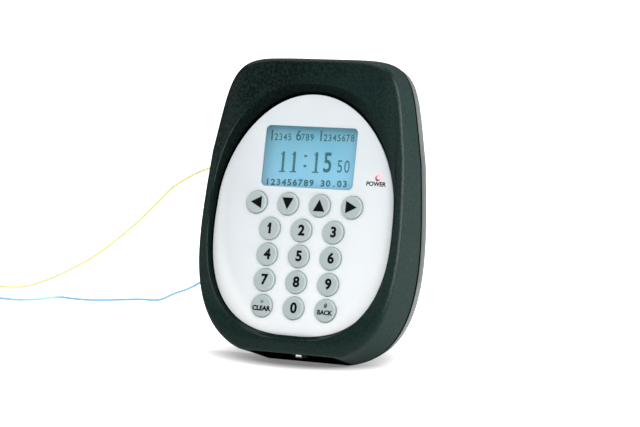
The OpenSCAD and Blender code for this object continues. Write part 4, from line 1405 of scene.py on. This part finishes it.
def key_finish(colour):
    """Satin silicone key: soft, with a fine matt grain, and a painted highlight where the mesh's tone
    is above 0, on the right of its chamfer."""
    finish = Finish("key_silicone")
    point = finish.place()
    tone = finish.tone()
    cloud = finish.noise(point, 90.0, 2.0)
    fine = finish.noise(point, 2400.0, 2.0)
    base = finish.mix(finish.ramp(cloud * 0.5 + fine * 0.5, 0.25, 0.75),
                      shaded(colour, 0.96), shaded(colour, 1.03))
    return finish.surface(
        Base_Color=finish.mix(tone * 0.8, base, shaded(colour, 1.6)),
        Roughness=finish.ramp(fine, 0.2, 0.8, 0.36, 0.46),
        Specular_IOR_Level=0.45,
        Normal=finish.bump(fine, 0.00001))


def arrow_piece(name, x0, z0, turned, material):
    """A triangle printed on a key."""
    keys = settings("clock_keys")
    half_w, tall = 3.6 * MM, 7 * MM
    bm = bmesh.new()
    verts = bmesh.ops.create_cone(bm, cap_ends=True, cap_tris=False, segments=3,
                                  radius1=1.0, radius2=1.0, depth=1.0)["verts"]
    point = max(vert.co.y for vert in verts)
    foot = min(vert.co.y for vert in verts)
    wide = max(vert.co.x for vert in verts)
    spin = Matrix.Rotation(turned, 2)
    for vert in verts:
        flat = spin @ Vector((vert.co.x / wide * half_w,
                              ((vert.co.y - foot) / (point - foot) - 0.5) * tall))
        vert.co = on_face(x0 + flat.x, -keys.proud + vert.co.z * INK_T, z0 + flat.y)
    bmesh.ops.bevel(bm, geom=list(bm.edges), offset=0.004 * MM, segments=1, profile=0.5,
                    affect="EDGES", material=-1)
    return finish_mesh(bm, name, material, 30.0, 1e-8)


class CLOCK_OT_keys(bpy.types.Operator):
    """Builds the sixteen keys with their figures and arrows"""
    bl_idname = "clock.keys"
    bl_label = "Keys"

    def execute(self, context):
        keys = settings("clock_keys")
        panel = settings("clock_panel")
        cap = key_finish(keys.cap)
        ink = ink_finish("key_ink", panel.ink)
        face = -keys.proud - 0.005 * MM
        for node, (x, z) in zip(NUMBER_KEYS + list(ARROW_TURNS),
                                number_places() + arrow_places()):
            fit(key_cap(node + "_cap", x, z, cap), node, "key_grey", node)
        for node, (x, z) in zip(NUMBER_KEYS, number_places()):
            for part, (bold, *sign) in enumerate(self.legend(node, keys.legend_height), 1):
                text, height, stretch, right, up = sign
                made = print_signs([(text, height, stretch, x + right, z + up)], face,
                                   node + "_print_" + str(part), ink, bold)
                fit(made, node, "key_grey")
        for (node, turned), (x, z) in zip(ARROW_TURNS.items(), arrow_places()):
            made = arrow_piece(node + "_arrow", x, z, math.radians(turned), ink)
            fit(made, node, "key_grey")
        return {"FINISHED"}

    def legend(self, node, tall):
        """What is printed on a key: how bold, the text, its height, its stretch, and how far
        its middle and its foot lie from the key's middle."""
        if node == "key_clear":
            return [(0.08, "CLEAR", 2.6 * MM, 1.02, 0.4 * MM, -3.0 * MM),
                    (0.02, "*", 2.1 * MM, 1.0, 0.3 * MM, 1.2 * MM)]
        if node == "key_back":
            return [(0.07, "BACK", 2.5 * MM, 0.98, 0.2 * MM, -2.6 * MM),
                    (0.04, "#", 2.7 * MM, 0.8, 0.2 * MM, 1.3 * MM)]
        foot = -tall / 2 - 0.2 * MM
        made = [(0.06, node[-1], tall, 0.98, 0.5 * MM, foot)]
        if node == "key_1":
            made.append((0.12, "/", 1.7 * MM, 1.8, -0.4 * MM, foot + tall - 1.9 * MM))
        return made


PANE_Y, PANE_T = 1.2 * MM, 1.5 * MM
GLASS_Y, GLASS_T = 4.5 * MM, 2.2 * MM
PANE_EDGE = 0.15 * MM
PANE_MORE = 1 * MM      # by which the pane reaches past the window on every side
PANE_GAP = 0.2 * MM     # round the pane, in the front cover


class CLOCK_OT_display(bpy.types.Operator):
    """Builds the window pane, the lit display and its characters"""
    bl_idname = "clock.display"
    bl_label = "Display"

    def execute(self, context):
        display = settings("clock_display")
        bm = bmesh.new()
        up = display.window_up
        half_w = display.window_width / 2 + PANE_MORE
        half_h = display.window_height / 2 + PANE_MORE
        box_into(bm, (-half_w, PANE_Y, up - half_h), (half_w, PANE_Y + PANE_T, up + half_h),
                 on_face, PANE_EDGE)
        pane = finish_mesh(bm, "window_pane", self.pane_finish(), 30.0)
        fit(pane, CASE, "window_clear", "display_window")
        bm = bmesh.new()
        half_w, half_h = half_w + 1.8 * MM, half_h + 0.8 * MM
        box_into(bm, (-half_w, GLASS_Y, up - half_h), (half_w, GLASS_Y + GLASS_T, up + half_h),
                 on_face, PANE_EDGE)
        glass = finish_mesh(bm, "lit_glass", self.lit_finish(display), 30.0)
        fit(glass, CASE, "lcd_blue", "lcd_glass")
        self.characters(display)
        return {"FINISHED"}

    def pane_finish(self):
        """Clear acrylic: a faint haze over what lies behind it."""
        finish = Finish("clear_acrylic")
        point = finish.place()
        haze = finish.noise(point, 60.0, 2.0)
        return finish.surface(
            Base_Color=(0.75, 0.88, 0.95),
            Roughness=finish.ramp(haze, 0.2, 0.8, 0.06, 0.12),
            Alpha=finish.ramp(haze, 0.2, 0.8, 0.03, 0.06))

    def lit_finish(self, display):
        """Lit display: brighter below and to the right, dim at its upper left, with painted shade along
        its top rim.
        """
        finish = Finish("lit_display")
        case = settings("clock_case")
        point = finish.place()
        local = finish.node("Mapping", {"vector_type": "POINT"},
                            {"Vector": point, "Rotation": (case.face_lean, 0.0, 0.0)})
        x, _, z = finish.split(local)
        middle = (Matrix.Rotation(case.face_lean, 4, "X")
                  @ on_face(0.0, GLASS_Y, display.window_up))
        across = (x - middle.x) / (display.window_width / 2)
        along = (z - middle.z) / (display.window_height / 2)
        slope = across * 0.12 - along * 0.64
        cloud = finish.noise(point, 60.0, 2.0)
        light = finish.ramp(slope + cloud * 0.3, -0.85, 1.0)
        # Painted shade along the top rim, under the window's edge
        rim = finish.ramp(along, 0.80, 0.99)
        tone = finish.mix(light, display.shade, display.lit)
        tone = finish.mix(rim * 0.35, tone, shaded(display.shade, 0.8))
        fine = finish.noise(point, 1500.0, 1.0)
        return finish.surface(
            Base_Color=tone,
            Emission_Color=tone,
            Emission_Strength=0.35,
            Roughness=finish.ramp(fine, 0.2, 0.8, 0.3, 0.4),
            Specular_IOR_Level=0.2)

    def characters(self, display):
        """The figures on the glass, turned slightly in the window."""
        dark = ink_finish("display_marks", display.marks)
        hub = (0.0, display.window_up)
        turned = display.image_turn
        y = GLASS_Y - 0.02 * MM

        def row(name, bold, signs):
            made = print_signs(signs, y, name, dark, bold, turned, hub)
            fit(made, CASE, "lcd_blue")

        def line(text, height, stretch, first, pitch, foot):
            """The signs of a line of text at even steps from the first, in millimetres."""
            return [(sign, height * MM, stretch, (first + pitch * i) * MM, foot * MM)
                    for i, sign in enumerate(text) if sign not in " :."]

        row("display_top_row", 0.026,
            line("1     6    1", 5.9, 0.86, -26.6, 2.84, 53.0)
            + line(" 2345  789  2345678", 3.9, 0.86, -26.6, 2.84, 53.0))
        first, pitch = -18.2, 7.05
        big = line(display.time, 11.3, 0.72, first, pitch, 34.6)
        # Dashes: how far to the side, the level, the height and the stretch
        dots = [(0.0, 37.5, 1.3, 0.5), (0.0, 43.4, 1.3, 0.5)]
        serifs = [(-0.3, 34.3, 0.7, 2.2), (-0.8, 44.6, 0.7, 0.9)]
        for i, sign in enumerate(display.time):
            for side, up, height, stretch in {":": dots, "1": serifs}.get(sign, []):
                big.append(("-", height * MM, stretch, (first + pitch * i + side) * MM, up * MM))
        row("display_time", 0.024, big)
        row("display_seconds", 0.0, line(display.seconds, 7.2, 0.74, 17.8, 4.5, 34.9))
        row("display_foot_row", 0.052, line("123456789 30.03", 3.5, 1.1, -27.1, 3.5, 26.4)
            + [(".", 0.8 * MM, 1.0, 15.1 * MM, 26.4 * MM)])


class CLOCK_OT_lamp(bpy.types.Operator):
    """Builds the small red lamp"""
    bl_idname = "clock.lamp"
    bl_label = "Lamp"

    def execute(self, context):
        r, proud, flange_r = LAMP_D / 2, 0.2 * MM, LAMP_D / 2 + 0.4 * MM
        flange_y, back_y, leg_end = 6.2 * MM, 7.2 * MM, 12 * MM
        leg_apart, leg_half = 0.9 * MM, 0.25 * MM
        profile = [(0.0, -proud)]
        for i in range(1, EDGE_STEPS + 1):
            a = math.radians(90 * i / EDGE_STEPS)
            profile.append((r * math.sin(a), r - proud - r * math.cos(a)))
        profile += [(r, flange_y), (flange_r, flange_y), (flange_r, back_y), (0.0, back_y)]
        bm = bmesh.new()
        spun(bm, profile, on_face(LAMP_X, 0.0, LAMP_Z), face_axis(), 48)
        for x in (LAMP_X - leg_apart, LAMP_X + leg_apart):
            box_into(bm, (x - leg_half, back_y, LAMP_Z - leg_half),
                     (x + leg_half, leg_end, LAMP_Z + leg_half), on_face)
        lens = finish_mesh(bm, "lamp_lens", self.lens_finish(), 40.0)
        fit(lens, CASE, "led_red", "power_led")
        return {"FINISHED"}

    def lens_finish(self):
        """Diffused red lens that glows, with a painted highlight at its upper right."""
        finish = Finish("lamp_red")
        away = finish.away(finish.place(),
                           on_face(LAMP_X + 0.8 * MM, 0.0, LAMP_Z + 0.7 * MM))
        # Painted highlight at the upper right of the lens
        core = finish.ramp(away, 2.0 * MM, 0.5 * MM)
        tone = finish.mix(core, (0.24, 0.018, 0.045), (1.0, 0.58, 0.68))
        return finish.surface(
            Base_Color=tone,
            Emission_Color=tone,
            Emission_Strength=0.5,
            Roughness=0.18,
            Specular_IOR_Level=0.5)


class CLOCK_OT_fixings(bpy.types.Operator):
    """Finishes the lock screw and the cable grommet"""
    bl_idname = "clock.fixings"
    bl_label = "Lock Screw and Grommet"

    def execute(self, context):
        paint(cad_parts["lock_screw"], self.screw_finish())
        rubber = moulded_finish("grommet_rubber", (0.018, 0.018, 0.019), 1200.0, 0.00003, 0.6)
        paint(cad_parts["cable_grommet"], rubber)
        return {"FINISHED"}

    def screw_finish(self):
        """Zinc-plated steel, with a painted glint on the middle of the head and painted shade, dark and
        dull, elsewhere.
        """
        finish = Finish("zinc_screw")
        point = finish.place()
        x, _, z = finish.split(point)
        # Painted glint on the head's middle; painted shade elsewhere
        bright = (finish.ramp((x - LOCK_X).absolute(), 2.1 * MM, 1.3 * MM)
                  * finish.ramp(z, LOCK_SEAT - 1.7 * MM, LOCK_SEAT - 1.1 * MM))
        fine = finish.noise(point, 900.0, 3.0)
        return finish.surface(
            Base_Color=finish.mix(bright, (0.035, 0.035, 0.035), (0.62, 0.62, 0.60)),
            Metallic=1.0,
            Roughness=finish.ramp(fine, 0.3, 0.7, 0.22, 0.35),
            Normal=finish.bump(fine, 0.00001))


def paint(node, material):
    """Gives a carried-over CAD node a finished material."""
    node.data.materials.clear()
    node.data.materials.append(material)


class CLOCK_OT_inside(bpy.types.Operator):
    """Finishes the pieces inside the case"""
    bl_idname = "clock.inside"
    bl_label = "Inside Pieces"

    def execute(self, context):
        moulded = [
            ("moulded_black", (0.02, 0.02, 0.021), 1400.0, 0.00002, 0.45,
             ["lcd_header", "processor", "memory_chips", "voltage_regulator", "buzzer",
              "cell_holder"]),
            ("gasket_foam", (0.03, 0.035, 0.04), 900.0, 0.0001, 0.8, ["display_gasket"]),
            ("light_guide", (0.62, 0.80, 0.88), 900.0, 0.00002, 0.35, ["lcd_backlight"]),
            ("natural_nylon", (0.7, 0.69, 0.64), 900.0, 0.00002, 0.4, ["lcd_spacers"]),
            ("mat_rubber", (0.08, 0.09, 0.095), 900.0, 0.00004, 0.65, ["keypad_mat"]),
            ("shrink_sleeve", (0.02, 0.025, 0.09), 800.0, 0.00001, 0.3, ["capacitors"]),
            ("relay_blue", (0.015, 0.06, 0.28), 900.0, 0.00002, 0.3, ["relay"]),
            ("terminal_green", (0.015, 0.24, 0.09), 900.0, 0.00002, 0.4,
             ["terminal_header", "terminal_plug"]),
        ]
        metals = [
            ("plated_sheet", (0.62, 0.62, 0.60), 0.3,
             ["lcd_bezel", "lcd_screws", "board_screws", "crystal", "coin_cell"]),
            ("enamelled_copper", (0.60, 0.22, 0.08), 0.3, ["antenna_coil"]),
            ("turned_brass", (0.78, 0.55, 0.20), 0.25, ["lock_insert"]),
        ]
        finished = [(moulded_finish(*look), nodes) for *look, nodes in moulded]
        finished += [(metal_finish(*look), nodes) for *look, nodes in metals]
        finished += [(board_finish("solder_mask"), ["lcd_board", "main_board"]),
                     (cord_finish("inner_sleeve", (0.45, 0.62, 0.55)), ["inner_leads"])]
        for material, nodes in finished:
            for node in nodes:
                paint(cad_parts[node], material)
        return {"FINISHED"}


class CLOCK_PT_panel(bpy.types.Panel):
    """Lists the steps that dress the clock"""
    bl_idname = "CLOCK_PT_panel"
    bl_label = "Wall Time Clock"
    bl_space_type = "VIEW_3D"
    bl_region_type = "UI"
    bl_category = "Time Clock"

    def draw(self, context):
        for operator in OPERATORS:
            self.layout.operator(operator.bl_idname)


OPERATORS = [
    CLOCK_OT_camera, CLOCK_OT_leads, CLOCK_OT_stage, CLOCK_OT_front_cover,
    CLOCK_OT_rear_cover, CLOCK_OT_panel, CLOCK_OT_display, CLOCK_OT_keys, CLOCK_OT_lamp,
    CLOCK_OT_fixings, CLOCK_OT_inside,
]
CLASSES = [*SETTINGS.values(), *OPERATORS, CLOCK_PT_panel]


def register():
    for cls in CLASSES:
        bpy.utils.register_class(cls)
    for name, group in SETTINGS.items():
        setattr(bpy.types.Scene, name, PointerProperty(type=group))


def unregister():
    for name in SETTINGS:
        delattr(bpy.types.Scene, name)
    for cls in reversed(CLASSES):
        bpy.utils.unregister_class(cls)


def main():
    """Registers the add-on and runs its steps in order."""
    register()
    for operator in OPERATORS:
        group, name = operator.bl_idname.split(".")
        getattr(getattr(bpy.ops, group), name)()


if __name__ == "__main__":
    main()
